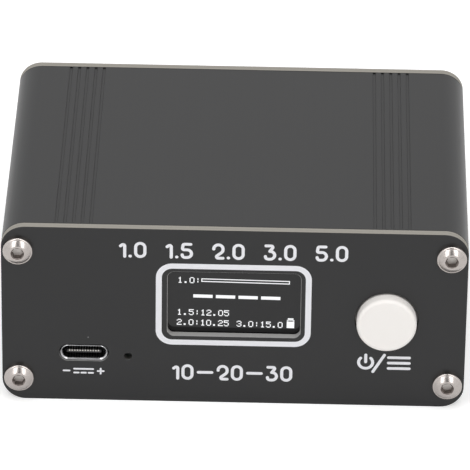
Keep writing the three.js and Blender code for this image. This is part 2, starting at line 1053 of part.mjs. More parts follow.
// Boards, and the header that joins them.
add(
  "main_board",
  block(
    edgeGap - innerHalfWidth,
    innerHalfWidth - edgeGap,
    caseFrontY + edgeGap,
    flangeRearY - edgeGap,
    boardUnderZ,
    boardTopZ,
  ),
  "greenBoard",
);
add(
  "display_board",
  block(
    -displayBoardLeft,
    buttonX + switchSide / 2 + displayBoardMargin,
    displayBoardY,
    displayBoardRearY,
    boardTopZ,
    ceilingZ - displayBoardHeadroom,
  ),
  "greenBoard",
);
add(
  "board_link",
  chip(linkWidth, linkSide, linkSide, 0, displayBoardRearY + linkSide / 2, boardTopZ),
  "blackPlastic",
);

// Button and switch.
add("button_cap", makeButtonCap(), "whitePlastic");
add("switch_stem", makeSwitchStem(), "blackPlastic");
add("switch_cover", makeSwitchCover(), "tin");
add("switch_base", makeSwitchBase(), "blackPlastic");
add("snap_dome", makeSnapDome(), "spring");

// Charging socket, light and chips.
add("usb_shell", makeUsbShell(), "tin");
add("usb_tongue", makeUsbTongue(), "blackPlastic");
add(
  "charge_led",
  chip(ledWidth, ledDepth, ledHeight, ledX, caseFrontY + 2 * edgeGap + ledDepth / 2, boardTopZ),
  "lamp",
);
const controllerY = displayBoardRearY + linkSide + controllerGap + controllerSide / 2;
add(
  "controller_chip",
  chip(controllerSide, controllerSide, controllerHeight, controllerX, controllerY, boardTopZ),
  "blackPlastic",
);
const chargerY = frontFaceY + usbSetback + usbLength + chargerGap + chargerLength / 2;
add(
  "charger_chip",
  chip(chargerWidth, chargerLength, chargerHeight, usbX, chargerY, boardTopZ),
  "blackPlastic",
);
for (const [direction, side] of [
  ["forward", -1],
  ["reflected", 1],
]) {
  const x = diodePairX + (side * diodeSpacing) / 2;
  const y = voltageCoreY - diodeSetback;
  const diode = chip(diodeWidth, diodeLength, diodeHeight, x, y, boardTopZ);
  add(`detector_diode_${direction}`, diode, "blackPlastic");
}

// Coaxial sockets.
for (const [port, side] of [
  ["aerial", -1],
  ["radio", 1],
]) {
  const x = (side * socketSpacing) / 2;
  add(`socket_shell_${port}`, makeSocketShell(x), "nickel");
  add(`socket_insulator_${port}`, makeSocketInsulator(x), "fluoropolymer");
  add(`socket_contact_${port}`, makeSocketContact(x), "gilt");
  add(`socket_washer_${port}`, makeWasher(x), "nickel");
  add(`socket_nut_${port}`, makeNut(x), "nickel");
}

// Directional coupler.
const windingSteps = windingTurns * stepsPerTurn;
add("line_conductor", makeLineConductor(), "copper");
add("line_sleeve", makeLineSleeve(), "fluoropolymer");
add("sense_conductor", wire(senseRoute(), senseRadius, leadSides, leadSteps), "copper");
for (const [name, x, y, z] of [
  ["current", currentCoreX, lineY, midZ],
  ["voltage", voltageCoreX, voltageCoreY, voltageCoreZ],
]) {
  add(`${name}_core`, makeCore(x, y, z), "ferrite");
  const winding = wire(windingRoute(x, y, z), wireRadius, wireSides, windingSteps);
  add(`${name}_winding`, winding, "enamelled");
}

// Battery.
add(
  "battery_pad",
  block(
    cellLeftX + padMargin,
    -cellLeftX - padMargin,
    cellFrontY + padMargin,
    cellRearY - padMargin,
    cellTopZ,
    ceilingZ,
  ),
  "foam",
);
add(
  "battery_cell",
  plate(-2 * cellLeftX, cellThickness, cellEdgeRadius, 0, cellZ, cellFrontY, cellRearY),
  "foil",
);
add("battery_header", makeBatteryHeader(), "fluoropolymer");
add("battery_plug", makeBatteryPlug(), "fluoropolymer");
add("battery_lead_plus", wire(leadRoute(1), leadRadius, leadSides, leadSteps), "redRubber");
add("battery_lead_minus", wire(leadRoute(-1), leadRadius, leadSides, leadSteps), "blackRubber");

export default meter;
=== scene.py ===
"""Looks of a small digital power and standing-wave meter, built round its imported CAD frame.

The case, the end panels, the screws, the display, the button, the charging socket and the coaxial
sockets are modelled in millimetres and turned to metres when they are placed. A size that the
frame holds is read from the frame, and the others are fields of the class that uses them.
X runs to the right, Y from the front to the rear and Z up.
"""

import json
import logging
import math
import re
from dataclasses import dataclass
from enum import Enum
from itertools import product
from typing import ClassVar, Iterable, Optional, Sequence, Union

import bmesh
import bpy
from bmesh.types import BMEdge, BMesh, BMFace, BMVert
from bpy.types import Material, Node, NodeTree, World
from bpy.types import NodeSocket as Socket
from mathutils import Matrix, Vector


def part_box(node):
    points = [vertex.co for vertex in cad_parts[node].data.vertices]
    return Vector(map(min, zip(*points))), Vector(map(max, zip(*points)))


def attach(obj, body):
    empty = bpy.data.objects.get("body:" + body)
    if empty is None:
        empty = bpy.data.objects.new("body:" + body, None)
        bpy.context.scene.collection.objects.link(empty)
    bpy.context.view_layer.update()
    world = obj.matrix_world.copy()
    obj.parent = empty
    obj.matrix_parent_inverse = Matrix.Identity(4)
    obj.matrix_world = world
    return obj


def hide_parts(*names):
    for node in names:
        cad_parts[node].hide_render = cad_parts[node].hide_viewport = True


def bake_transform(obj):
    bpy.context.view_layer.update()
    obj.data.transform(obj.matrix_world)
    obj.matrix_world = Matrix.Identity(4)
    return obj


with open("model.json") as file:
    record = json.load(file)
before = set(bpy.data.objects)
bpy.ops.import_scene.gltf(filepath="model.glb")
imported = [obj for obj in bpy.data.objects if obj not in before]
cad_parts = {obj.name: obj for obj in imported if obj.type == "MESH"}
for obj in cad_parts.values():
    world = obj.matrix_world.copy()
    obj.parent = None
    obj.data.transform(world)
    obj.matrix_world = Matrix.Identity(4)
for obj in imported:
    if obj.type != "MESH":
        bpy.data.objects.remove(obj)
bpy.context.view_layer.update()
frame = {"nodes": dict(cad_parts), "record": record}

log = logging.getLogger("meter")

MM = 0.001
CREASE = math.radians(35)

# Vertices nearer to each other than this are one, in millimetres.
MERGE_MM = 0.0005

# Printed ink stands this proud of the panel, and a stroke that crosses another this much more, so
# that their faces don't lie in one plane. Both are in millimetres.
INK_MM = 0.02
CROSSING_MM = 0.003

# A face looks straight along an axis where its normal has more than this of that axis.
STRAIGHT = 0.9

HEXAGON_SIDES = 6

Point = tuple[float, float]

# First column, column after the last, first row and row after the last of a block of dots.
DotBlock = tuple[int, int, int, int]


class Body(Enum):
    """The bodies that the pieces ride on."""

    CASE = "case"
    BUTTON = "button"


class Slot(Enum):
    """The material slots of the record."""

    CASE_ANODISED = "case_anodised"
    PANEL_BOARD = "panel_board"
    SCREEN_PRINT = "screen_print"
    SCREW_STEEL = "screw_steel"
    BUTTON_PLASTIC = "button_plastic"
    DISPLAY_GLASS = "display_glass"
    DISPLAY_LIGHT = "display_light"
    INNER_BOARD = "inner_board"
    BLACK_PLASTIC = "black_plastic"
    WHITE_PLASTIC = "white_plastic"
    TINNED_STEEL = "tinned_steel"
    LAMP_LENS = "lamp_lens"
    NICKEL = "nickel"
    GILT_CONTACT = "gilt_contact"
    COPPER = "copper"
    ENAMELLED_WIRE = "enamelled_wire"
    FERRITE = "ferrite"
    BATTERY_FOIL = "battery_foil"
    FOAM = "foam"
    RED_LEAD = "red_lead"
    BLACK_LEAD = "black_lead"


class Side(Enum):
    """Which way out of the case a panel or a screw faces, along Y."""

    FRONT = "front"
    REAR = "rear"


# Materials


def linear(hex_code: str) -> tuple[float, float, float, float]:
    """Turns an sRGB hex colour into the linear colour that a shader takes.

    Args:
        hex_code: Six hex digits after a hash sign.

    Returns:
        Linear red, green, blue and full alpha.
    """
    shares = [int(hex_code[i : i + 2], 16) / 255 for i in (1, 3, 5)]
    low_end, slope, offset, power = 0.04045, 12.92, 0.055, 2.4
    red, green, blue = (
        c / slope if c <= low_end else ((c + offset) / (1 + offset)) ** power for c in shares
    )
    return red, green, blue, 1.0


def per_metre(size_mm: float) -> float:
    """Returns the texture scale that draws a pattern's cell at this size."""
    return 1 / (size_mm * MM)


def socket_of(sockets: Iterable[Socket], name: str) -> Socket:
    """Finds a node's socket by its identifier, or else by its name.

    Args:
        sockets: The inputs or outputs of a node.
        name: The identifier or name that is wanted.

    Returns:
        The socket.
    """
    found = [s for s in sockets if s.identifier == name] or [s for s in sockets if s.name == name]
    return found[0]


def add_node(
    tree: NodeTree,
    kind: str,
    inputs: Optional[dict[str, object]] = None,
    **settings: object,
) -> Node:
    """Adds a node with its settings, and sets or links its inputs.

    Args:
        tree: The node tree that gets the node.
        kind: The node's type name.
        inputs: A value, or another node's output, for each input named.
        settings: Values for the node's own properties.

    Returns:
        The new node.
    """
    node = tree.nodes.new(kind)
    for name, value in settings.items():
        setattr(node, name, value)
    for name, value in (inputs or {}).items():
        target = socket_of(node.inputs, name)
        if isinstance(value, Socket):
            tree.links.new(value, target)
        else:
            target.default_value = value
    return node


def out(node: Node, name: str) -> Socket:
    """Returns a node's output by its identifier or name."""
    return socket_of(node.outputs, name)


def empty_tree(owner: Union[Material, World]) -> NodeTree:
    """Gives a material or a world an empty node tree.

    Args:
        owner: The material or world.

    Returns:
        Its node tree.
    """
    owner.use_nodes = True
    owner.node_tree.nodes.clear()
    return owner.node_tree


@dataclass(frozen=True)
class Finish:
    """A surface with a fine even grain in its colour, gloss and height.

    Attributes:
        name: Common name of the material.
        colour: Its sRGB hex colour.
        roughness: Its roughness, in the middle of its range.
        metallic: 1 for bare metal and 0 for anything else.
        ior: Refractive index where the surface isn't metal.
        grain_mm: Size of the grain.
        relief_mm: Height of the grain.
        tone_share: How far the grain darkens and lightens the colour.
        gloss_share: How far the grain changes the roughness.
        grain_detail: How many finer grains are laid over the grain.
        overlay_share: How much the overlay counts beside the grain, where a kind has one.
    """

    name: str
    colour: str
    roughness: float
    metallic: float = 0.0
    ior: float = 1.5
    grain_mm: float = 0.3
    relief_mm: float = 0.002
    tone_share: float = 0.06
    gloss_share: float = 0.08
    grain_detail: float = 3.0
    overlay_share: float = 0.5

    def overlay(self, tree: NodeTree, coords: Socket) -> Optional[Socket]:
        """Adds the pattern over the grain, and returns it, or None for plain grain."""
        return None

    def pattern(self, tree: NodeTree, coords: Socket) -> Socket:
        """Adds the pattern that the whole finish follows: the grain, and what lies over it.

        Args:
            tree: The material's node tree.
            coords: Object coordinates, in metres.

        Returns:
            A value from 0 to 1.
        """
        noise = add_node(
            tree,
            "ShaderNodeTexNoise",
            {
                "Vector": coords,
                "Scale": per_metre(self.grain_mm),
                "Detail": self.grain_detail,
            },
        )
        grain, overlay = out(noise, "Fac"), self.overlay(tree, coords)
        if overlay is None:
            return grain
        mix = add_node(
            tree,
            "ShaderNodeMix",
            {"Factor_Float": self.overlay_share, "A_Float": grain, "B_Float": overlay},
        )
        return out(mix, "Result_Float")

    def tint(self, tree: NodeTree, coords: Socket, shade: Socket) -> Socket:
        """Adds the colour, darker where the pattern is low and lighter where it is high.

        Args:
            tree: The material's node tree.
            coords: Object coordinates, in metres.
            shade: The pattern.

        Returns:
            The colour.
        """
        base = linear(self.colour)
        dark = [c * (1 - self.tone_share) for c in base[:3]] + [1.0]
        light = [min(1.0, c * (1 + self.tone_share)) for c in base[:3]] + [1.0]
        mix = add_node(
            tree,
            "ShaderNodeMix",
            {"Factor_Float": shade, "A_Color": dark, "B_Color": light},
            data_type="RGBA",
        )
        return out(mix, "Result_Color")

    def surface(self) -> dict[str, object]:
        """Returns the values that are the same all over, by the shader's own input names."""
        values: dict[str, object] = {"Metallic": self.metallic}
        if not self.metallic:
            values["IOR"] = self.ior
        return values

    def material(self) -> Material:
        """Returns the finish as a Blender material, made the first time it is asked for."""
        made = bpy.data.materials.get(self.name)
        if made:
            return made
        material = bpy.data.materials.new(self.name)
        tree = empty_tree(material)
        coords = out(add_node(tree, "ShaderNodeTexCoord"), "Object")
        shade = self.pattern(tree, coords)
        gloss = add_node(
            tree,
            "ShaderNodeMapRange",
            {
                "Value": shade,
                "To Min": self.roughness * (1 - self.gloss_share),
                "To Max": self.roughness * (1 + self.gloss_share),
            },
        )
        relief = add_node(
            tree, "ShaderNodeBump", {"Height": shade, "Distance": self.relief_mm * MM}
        )
        shader = add_node(
            tree,
            "ShaderNodeBsdfPrincipled",
            {
                "Base Color": self.tint(tree, coords, shade),
                "Roughness": out(gloss, "Result"),
                "Normal": out(relief, "Normal"),
                **self.surface(),
            },
        )
        add_node(tree, "ShaderNodeOutputMaterial", {"Surface": out(shader, "BSDF")})
        return material


@dataclass(frozen=True)
class DustyFinish(Finish):
    """A dark finish that shows a few light specks of dust.

    Attributes:
        dust_colour: The specks' sRGB hex colour.
        dust_cell_mm: One speck at most lies in a cell of this size.
        dust_speck_mm: Radius of a speck.
        bare_share: Share of the cells that hold no speck.
    """

    dust_colour: str = "#8c8c8c"
    dust_cell_mm: float = 1.2
    dust_speck_mm: float = 0.13
    bare_share: float = 0.96

    def tint(self, tree: NodeTree, coords: Socket, shade: Socket) -> Socket:
        """Adds the colour with its dust.

        Args:
            tree: The material's node tree.
            coords: Object coordinates, in metres.
            shade: The pattern.

        Returns:
            The colour.
        """
        clean = super().tint(tree, coords, shade)
        cells = add_node(
            tree,
            "ShaderNodeTexVoronoi",
            {"Vector": coords, "Scale": per_metre(self.dust_cell_mm)},
        )
        speck = add_node(
            tree,
            "ShaderNodeMath",
            {"Value": out(cells, "Distance"), "Value_001": self.dust_speck_mm / self.dust_cell_mm},
            operation="LESS_THAN",
        )
        chosen = add_node(
            tree,
            "ShaderNodeMath",
            {"Value": out(cells, "Color"), "Value_001": self.bare_share},
            operation="GREATER_THAN",
        )
        dusty = add_node(
            tree,
            "ShaderNodeMath",
            {"Value": out(speck, "Value"), "Value_001": out(chosen, "Value")},
            operation="MULTIPLY",
        )
        mix = add_node(
            tree,
            "ShaderNodeMix",
            {
                "Factor_Float": out(dusty, "Value"),
                "A_Color": clean,
                "B_Color": linear(self.dust_colour),
            },
            data_type="RGBA",
        )
        return out(mix, "Result_Color")


@dataclass(frozen=True)
class DrawnFinish(DustyFinish):
    """A finish with faint lines along Y, as the die leaves them on an extrusion.

    Attributes:
        line_mm: Width of a die line.
        run_mm: Length over which a line fades.
        line_detail: How many finer lines are laid over them.
    """

    line_mm: float = 0.35
    run_mm: float = 40.0
    line_detail: float = 1.0

    def overlay(self, tree: NodeTree, coords: Socket) -> Optional[Socket]:
        """Adds the stretched die lines.

        Args:
            tree: The material's node tree.
            coords: Object coordinates, in metres.

        Returns:
            A value from 0 to 1.
        """
        stretch = self.line_mm / self.run_mm
        drawn = add_node(
            tree, "ShaderNodeMapping", {"Vector": coords, "Scale": (1.0, stretch, 1.0)}
        )
        lines = add_node(
            tree,
            "ShaderNodeTexNoise",
            {
                "Vector": out(drawn, "Vector"),
                "Scale": per_metre(self.line_mm),
                "Detail": self.line_detail,
            },
        )
        return out(lines, "Fac")


@dataclass(frozen=True)
class LayeredFinish(Finish):
    """The cut edge of a laminate, with its glass layers across the board's thickness.

    Attributes:
        layer_mm: Thickness of a layer.
        raggedness: How far the cut yarns push a layer's edge about.
        yarn_detail: How many finer waves are laid over that.
        yarn_scale: How much finer each of those is.
    """

    layer_mm: float = 0.4
    raggedness: float = 2.0
    yarn_detail: float = 2.0
    yarn_scale: float = 1.5

    def overlay(self, tree: NodeTree, coords: Socket) -> Optional[Socket]:
        """Adds bands across Y, broken up by the cut glass yarns.

        Args:
            tree: The material's node tree.
            coords: Object coordinates, in metres.

        Returns:
            A value from 0 to 1.
        """
        bands = add_node(
            tree,
            "ShaderNodeTexWave",
            {
                "Vector": coords,
                "Scale": per_metre(self.layer_mm) / (2 * math.pi),
                "Distortion": self.raggedness,
                "Detail": self.yarn_detail,
                "Detail Scale": self.yarn_scale,
            },
            bands_direction="Y",
        )
        return out(bands, "Fac")


@dataclass(frozen=True)
class WovenFinish(Finish):
    """Solder mask over a glass-fibre board, which lets the weave show faintly.

    Attributes:
        yarn_mm: Spacing of the glass yarns.
    """

    overlay_share: float = 0.25
    yarn_mm: float = 0.55

    def overlay(self, tree: NodeTree, coords: Socket) -> Optional[Socket]:
        """Adds the weave's checks."""
        inputs = {"Vector": coords, "Scale": per_metre(self.yarn_mm)}
        return out(add_node(tree, "ShaderNodeTexChecker", inputs), "Fac")


@dataclass(frozen=True)
class LitFinish(Finish):
    """A dark surface that gives light of its own.

    Attributes:
        light: The light's sRGB hex colour.
        strength: Strength of its light, where 1 renders as written.
    """

    light: str = "#ffffff"
    strength: float = 1.0

    def surface(self) -> dict[str, object]:
        """Returns the values that are the same all over, with the light added."""
        return {
            **super().surface(),
            "Emission Color": linear(self.light),
            "Emission Strength": self.strength,
        }


# Aluminium, extruded, blasted and anodised black: soft sheen that brightens towards the shoulders.
ANODISED = DrawnFinish(
    "anodised aluminium", "#161617", 0.4, ior=1.45, grain_mm=0.12, tone_share=0.06
)

# Black solder mask: smooth and dense, with a low sheen.
SOLDER_MASK = DustyFinish("black solder mask", "#181819", 0.34, grain_mm=0.25, tone_share=0.05)

# Glass-fibre laminate, routed: the bare cut shows tan-grey, with its glass in layers.
LAMINATE = LayeredFinish(
    "glass fibre laminate", "#938f87", 0.7, grain_mm=0.35, relief_mm=0.02, tone_share=0.16
)

# The same laminate in the small holes, darker and uneven: painted shade for the little light that
# gets into them.
SMALL_HOLE_SHADE = Finish(
    "laminate in small holes with painted shade", "#3a3936", 0.6, grain_mm=0.3, relief_mm=0.02, tone_share=0.3
)

# The same laminate in the window and the slot, paler: painted light on their walls, which lie in
# the openings' shade.
OPENING_LIGHT = Finish(
    "laminate in openings with painted light", "#a7a6a5", 0.7, grain_mm=0.35, relief_mm=0.02, tone_share=0.1
)

# White ink, screen printed: flat and slightly cool.
INK = Finish("white screen ink", "#ececf0", 0.55, grain_mm=0.15, tone_share=0.03)

# Stainless steel, cold headed and tumbled bright: a soft mirror.
STAINLESS = Finish(
    "stainless steel", "#bdb6b2", 0.24, 1.0, grain_mm=0.4, relief_mm=0.001, gloss_share=0.3
)

# The same steel on the sockets' walls, dull and darker: painted shade deep in the sockets.
SOCKET_WALL_SHADE = Finish(
    "steel in the sockets with painted shade", "#79716d", 0.45, 1.0, grain_mm=0.3, relief_mm=0.01,
    tone_share=0.25,
)

# The same steel at the bottom of the sockets, rough and lighter: painted light on the socket
# floors.
SOCKET_FLOOR_LIGHT = Finish(
    "socket floor steel with painted light", "#dcd7d3", 0.5, 1.0, grain_mm=0.3, relief_mm=0.01,
    tone_share=0.1,
)

# ABS, moulded white: even, with a faint satin texture.
WHITE_ABS = Finish("moulded ABS", "#f9f5f1", 0.6, grain_mm=0.2, tone_share=0.01)

# Display glass, polished: nearly black, so it only shows what it reflects.
DISPLAY_GLASS = Finish(
    "dark display glass", "#0a0a0c", 0.08, ior=1.52, grain_mm=2.0, relief_mm=0.0, tone_share=0.1
)

# Lit dots of an organic display: plain white light from behind dark glass.
LIT_DOTS = LitFinish("lit display dots", "#0a0a0c", 0.2, grain_mm=0.2, light="#fcfdff")

# Green solder mask over glass-fibre board: glossy, with the weave faintly under it.
GREEN_BOARD = WovenFinish("green solder mask", "#1d5a36", 0.35, grain_mm=0.4, tone_share=0.25)

# Filled black thermoplastic, moulded: dull and slightly grainy.
BLACK_PLASTIC = Finish("moulded black plastic", "#1c1c1d", 0.5, grain_mm=0.15, tone_share=0.12)

# Fluoropolymer, turned: waxy white.
WHITE_PLASTIC = Finish("turned fluoropolymer", "#efefea", 0.42, grain_mm=0.3, tone_share=0.02)

# Steel sheet, stamped and tin plated: bright, with a soft grain.
TINNED = Finish("tinned steel", "#bfbfc1", 0.24, 1.0, grain_mm=0.3, gloss_share=0.3)

# Clear resin, cast over the lamp's chip: milky from the front.
RESIN = Finish("clear resin", "#cfd3d4", 0.25, grain_mm=0.3, tone_share=0.04)

# Nickel on turned brass: bright and slightly warm.
NICKEL = Finish("nickel plating", "#cdcac3", 0.2, 1.0, grain_mm=0.35, gloss_share=0.3)

# Gold flash over nickel, on the contacts: warm, smooth and bright.
GILT = Finish("gold plating", "#dcb469", 0.25, 1.0, grain_mm=0.2, gloss_share=0.3)

# Gold flash worn thin by the plug, so that the nickel under it shows pale.
WORN_GILT = Finish("worn gold plating", "#d0cdc7", 0.3, 1.0, grain_mm=0.2, gloss_share=0.3)

# Copper, drawn and left bare: warm, with a little tarnish.
COPPER = Finish("drawn copper", "#c67b52", 0.3, 1.0, grain_mm=0.6, tone_share=0.2)

# Enamelled copper wire: red-brown and glossy.
ENAMEL = Finish("enamelled copper wire", "#9c4c26", 0.22, 0.6, grain_mm=0.3, tone_share=0.12)

# Ferrite, pressed and fired: charcoal grey, dull.
FERRITE = Finish(
    "fired ferrite", "#38393b", 0.7, grain_mm=0.25, relief_mm=0.02, tone_share=0.2
)

# Aluminium foil laminate of the battery's pouch: silvery, slightly crinkled.
POUCH = Finish(
    "foil pouch laminate", "#b4b8bb", 0.35, 0.7, grain_mm=3.0, relief_mm=0.08, tone_share=0.06
)

# Card, painted matt grey: gives the bright metal an even grey to mirror.
GREY_CARD = Finish("grey card", "#9c9c9c", 0.9, grain_mm=5.0)

# Closed-cell foam: black and matt, with open pores on its cut faces.
FOAM = Finish("cellular foam", "#262627", 0.9, grain_mm=0.35, relief_mm=0.08, tone_share=0.3)

# Silicone rubber insulation, extruded: even in colour, with a soft sheen.
RED_RUBBER = Finish("red silicone rubber", "#a51e1e", 0.45, grain_mm=0.4, tone_share=0.06)
BLACK_RUBBER = Finish("black silicone rubber", "#19191a", 0.45, grain_mm=0.4, tone_share=0.1)

FINISHES: dict[Slot, Finish] = {
    Slot.CASE_ANODISED: ANODISED,
    Slot.PANEL_BOARD: SOLDER_MASK,
    Slot.SCREEN_PRINT: INK,
    Slot.SCREW_STEEL: STAINLESS,
    Slot.BUTTON_PLASTIC: WHITE_ABS,
    Slot.DISPLAY_GLASS: DISPLAY_GLASS,
    Slot.DISPLAY_LIGHT: LIT_DOTS,
    Slot.INNER_BOARD: GREEN_BOARD,
    Slot.BLACK_PLASTIC: BLACK_PLASTIC,
    Slot.WHITE_PLASTIC: WHITE_PLASTIC,
    Slot.TINNED_STEEL: TINNED,
    Slot.LAMP_LENS: RESIN,
    Slot.NICKEL: NICKEL,
    Slot.GILT_CONTACT: GILT,
    Slot.COPPER: COPPER,
    Slot.ENAMELLED_WIRE: ENAMEL,
    Slot.FERRITE: FERRITE,
    Slot.BATTERY_FOIL: POUCH,
    Slot.FOAM: FOAM,
    Slot.RED_LEAD: RED_RUBBER,
    Slot.BLACK_LEAD: BLACK_RUBBER,
}


# Shared shapes


@dataclass(frozen=True)
class NodeBox:
    """The box of a CAD node at rest, in millimetres."""

    low: Vector
    high: Vector

    @classmethod
    def of(cls, node: str) -> "NodeBox":
        """Reads a node's box from the frame."""
        low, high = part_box(node)
        return cls(low / MM, high / MM)

    @property
    def centre(self) -> Vector:
        """The middle of the box."""
        return (self.low + self.high) / 2

    @property
    def size(self) -> Vector:
        """The box's extent along each axis."""
        return self.high - self.low


@dataclass(frozen=True)
class RoundedBox:
    """An upright rounded rectangle, as an outline to cut or fill.

    Attributes:
        x: Its middle along X.
        z: Its middle along Z.
        width: Its extent along X.
        height: Its extent along Z.
        radius: Radius of its corners.
        steps: Edges on each corner.
    """

    x: float
    z: float
    width: float
    height: float
    radius: float
    steps: int = 12

    def draw(self, bm: BMesh, y: float) -> list[BMEdge]:
        """Draws the outline as a closed loop of edges.

        Args:
            bm: The mesh that gets the loop.
            y: Its place along Y.

        Returns:
            The edges.
        """
        upright = Matrix.Rotation(math.pi / 2, 4, "X")
        there = Matrix.Translation((self.x, y, self.z)) @ upright
        spread = Matrix.Diagonal((self.width, self.height, 1, 1))
        verts = bmesh.ops.create_grid(
            bm, x_segments=1, y_segments=1, size=0.5, matrix=there @ spread
        )["verts"]
        rounded = bmesh.ops.bevel(
            bm,
            geom=verts,
            offset=self.radius,
            offset_type="OFFSET",
            segments=self.steps,
            profile=0.5,
            affect="VERTICES",
            clamp_overlap=False,
            material=-1,
        )
        face = next(f for v in rounded["verts"] for f in v.link_faces)
        edges = list(face.edges)
        bmesh.ops.delete(bm, geom=[face], context="FACES_ONLY")
        return edges

    def holds(self, point: Vector, margin: float) -> bool:
        """Says whether a point lies within the outline's box or this far outside it."""
        across, up = abs(point.x - self.x), abs(point.z - self.z)
        return across < self.width / 2 + margin and up < self.height / 2 + margin


@dataclass(frozen=True)
class Disc:
    """An upright circle, as an outline to cut or fill.

    Attributes:
        x: Its middle along X.
        z: Its middle along Z.
        radius: Its radius.
        steps: Edges on the circle.
    """

    x: float
    z: float
    radius: float
    steps: int = 48

    def draw(self, bm: BMesh, y: float) -> list[BMEdge]:
        """Draws the outline as a closed loop of edges.

        Args:
            bm: The mesh that gets the loop.
            y: Its place along Y.

        Returns:
            The edges.
        """
        upright = Matrix.Rotation(math.pi / 2, 4, "X")
        verts = bmesh.ops.create_circle(
            bm,
            segments=self.steps,
            radius=self.radius,
            matrix=Matrix.Translation((self.x, y, self.z)) @ upright,
        )["verts"]
        return edges_at(verts)

    def holds(self, point: Vector, margin: float) -> bool:
        """Says whether a point lies within the circle or this far outside it."""
        return math.hypot(point.x - self.x, point.z - self.z) < self.radius + margin


Outline = Union[RoundedBox, Disc]


def faces_of(geometry: Iterable[object]) -> list[BMFace]:
    """Keeps the faces of an operator's result."""
    return [g for g in geometry if isinstance(g, BMFace)]


def verts_of(geometry: Iterable[object]) -> list[BMVert]:
    """Keeps the vertices of an operator's result."""
    return [g for g in geometry if isinstance(g, BMVert)]


def edges_of(geometry: Iterable[object]) -> list[BMEdge]:
    """Keeps the edges of an operator's result."""
    return [g for g in geometry if isinstance(g, BMEdge)]


def edges_at(verts: Iterable[BMVert]) -> list[BMEdge]:
    """Lists the edges that end at any of these vertices, each of them once."""
    return list(dict.fromkeys(e for v in verts for e in v.link_edges))


def tidy(bm: BMesh) -> None:
    """Merges doubled vertices and turns every face outwards."""
    bmesh.ops.remove_doubles(bm, verts=bm.verts, dist=MERGE_MM)
    bmesh.ops.recalc_face_normals(bm, faces=bm.faces)


def thicken(
    bm: BMesh,
    faces: Sequence[BMFace],
    front_y: float,
    rear_y: float,
    chamfer: float,
) -> None:
    """Turns upright flat faces into a slab with a fine chamfer round both sides.

    Args:
        bm: The mesh, which holds the faces and nothing else.
        faces: The faces, at any Y.
        front_y: Y of the slab's front face.
        rear_y: Y of its rear face.
        chamfer: Width and depth of the chamfer, or 0 for none.
    """
    start = front_y + chamfer
    for vert in bm.verts:
        vert.co.y = start
    made = bmesh.ops.extrude_face_region(bm, geom=list(faces))["geom"]
    depth = rear_y - front_y - 2 * chamfer
    bmesh.ops.translate(bm, vec=(0, depth, 0), verts=verts_of(made))
    tidy(bm)
    if not chamfer:
        return
    for sign in (-1, 1):
        cap = [f for f in bm.faces if f.normal.y * sign > STRAIGHT]
        bmesh.ops.inset_region(
            bm,
            faces=cap,
            thickness=chamfer,
            depth=chamfer,
            use_boundary=True,
            use_even_offset=True,
        )


def plate(
    outer: Outline,
    holes: Sequence[Outline],
    front_y: float,
    rear_y: float,
    chamfer: float = 0.0,
) -> BMesh:
    """Makes an upright plate with holes through it.

    Args:
        outer: The plate's outline.
        holes: The outlines of its holes.
        front_y: Y of its front face.
        rear_y: Y of its rear face.
        chamfer: Width and depth of the chamfer on every rim.

    Returns:
        The plate's mesh.
    """
    bm = bmesh.new()
    edges = [edge for line in (outer, *holes) for edge in line.draw(bm, front_y)]
    filled = bmesh.ops.triangle_fill(bm, use_beauty=True, edges=edges, normal=(0, -1, 0))
    thicken(bm, faces_of(filled["geom"]), front_y, rear_y, chamfer)
    return bm


def hexagon(bm: BMesh, across_flats: float, y: float, steps: int) -> list[BMEdge]:
    """Draws an upright hexagon about the Y axis, cut up so that it can be bridged to a circle.

    Args:
        bm: The mesh that gets the hexagon.
        across_flats: Its size between two sides.
        y: Its place along Y.
        steps: Edges on the whole of it, as on the circle.

    Returns:
        The edges.
    """
    corner_radius = across_flats / math.sqrt(3)
    sides = Disc(0, 0, corner_radius, HEXAGON_SIDES).draw(bm, y)
    cut = bmesh.ops.subdivide_edges(bm, edges=sides, cuts=steps // HEXAGON_SIDES - 1)
    return edges_at(verts_of(cut["geom"]))


def bridge_round(bm: BMesh, loops: Sequence[Sequence[BMEdge]]) -> None:
    """Bridges each loop of edges to the next one and the last to the first, and tidies the mesh.

    Args:
        bm: The mesh.
        loops: The loops, in order.
    """
    for first, second in zip(loops, [*loops[1:], loops[0]]):
        bmesh.ops.bridge_loops(bm, edges=[*first, *second])
    tidy(bm)


def polyline(bm: BMesh, points: Sequence[Point]) -> list[BMVert]:
    """Draws a line through [x, y] points in the plane z = 0.

    Args:
        bm: The mesh that gets the line.
        points: The points, in order.

    Returns:
        The vertices, in order.
    """
    verts = [bm.verts.new((x, y, 0)) for x, y in points]
    for pair in zip(verts, verts[1:]):
        bm.edges.new(pair)
    return verts


def arc(x: float, z: float, radius: float, start: float, end: float, steps: int) -> list[Point]:
    """Lists the points of an arc.

    Args:
        x: Its centre's first coordinate.
        z: Its centre's second coordinate.
        radius: Its radius.
        start: Its first angle, in degrees, counter-clockwise from the first axis.
        end: Its last angle, in degrees.
        steps: Edges on the arc.

    Returns:
        The points, in order.
    """
    angles = [math.radians(start + (end - start) * i / steps) for i in range(steps + 1)]
    return [(x + radius * math.cos(a), z + radius * math.sin(a)) for a in angles]


def turned(profile: Sequence[Point], x: float, z: float, steps: int = 64) -> BMesh:
    """Spins a profile of [radius, y] points about an axis along Y.

    Args:
        profile: The points; it starts and ends on the axis, or at its own first point.
        x: Place of the axis along X.
        z: Place of the axis along Z.
        steps: Edges round the axis.

    Returns:
        The turned mesh.
    """
    bm = bmesh.new()
    verts = polyline(bm, profile)
    bmesh.ops.spin(
        bm,
        geom=[*verts, *bm.edges],
        cent=(0, 0, 0),
        axis=(0, 1, 0),
        angle=2 * math.pi,
        steps=steps,
        use_merge=True,
    )
    tidy(bm)
    bmesh.ops.translate(bm, vec=(x, 0, z), verts=bm.verts)
    return bm


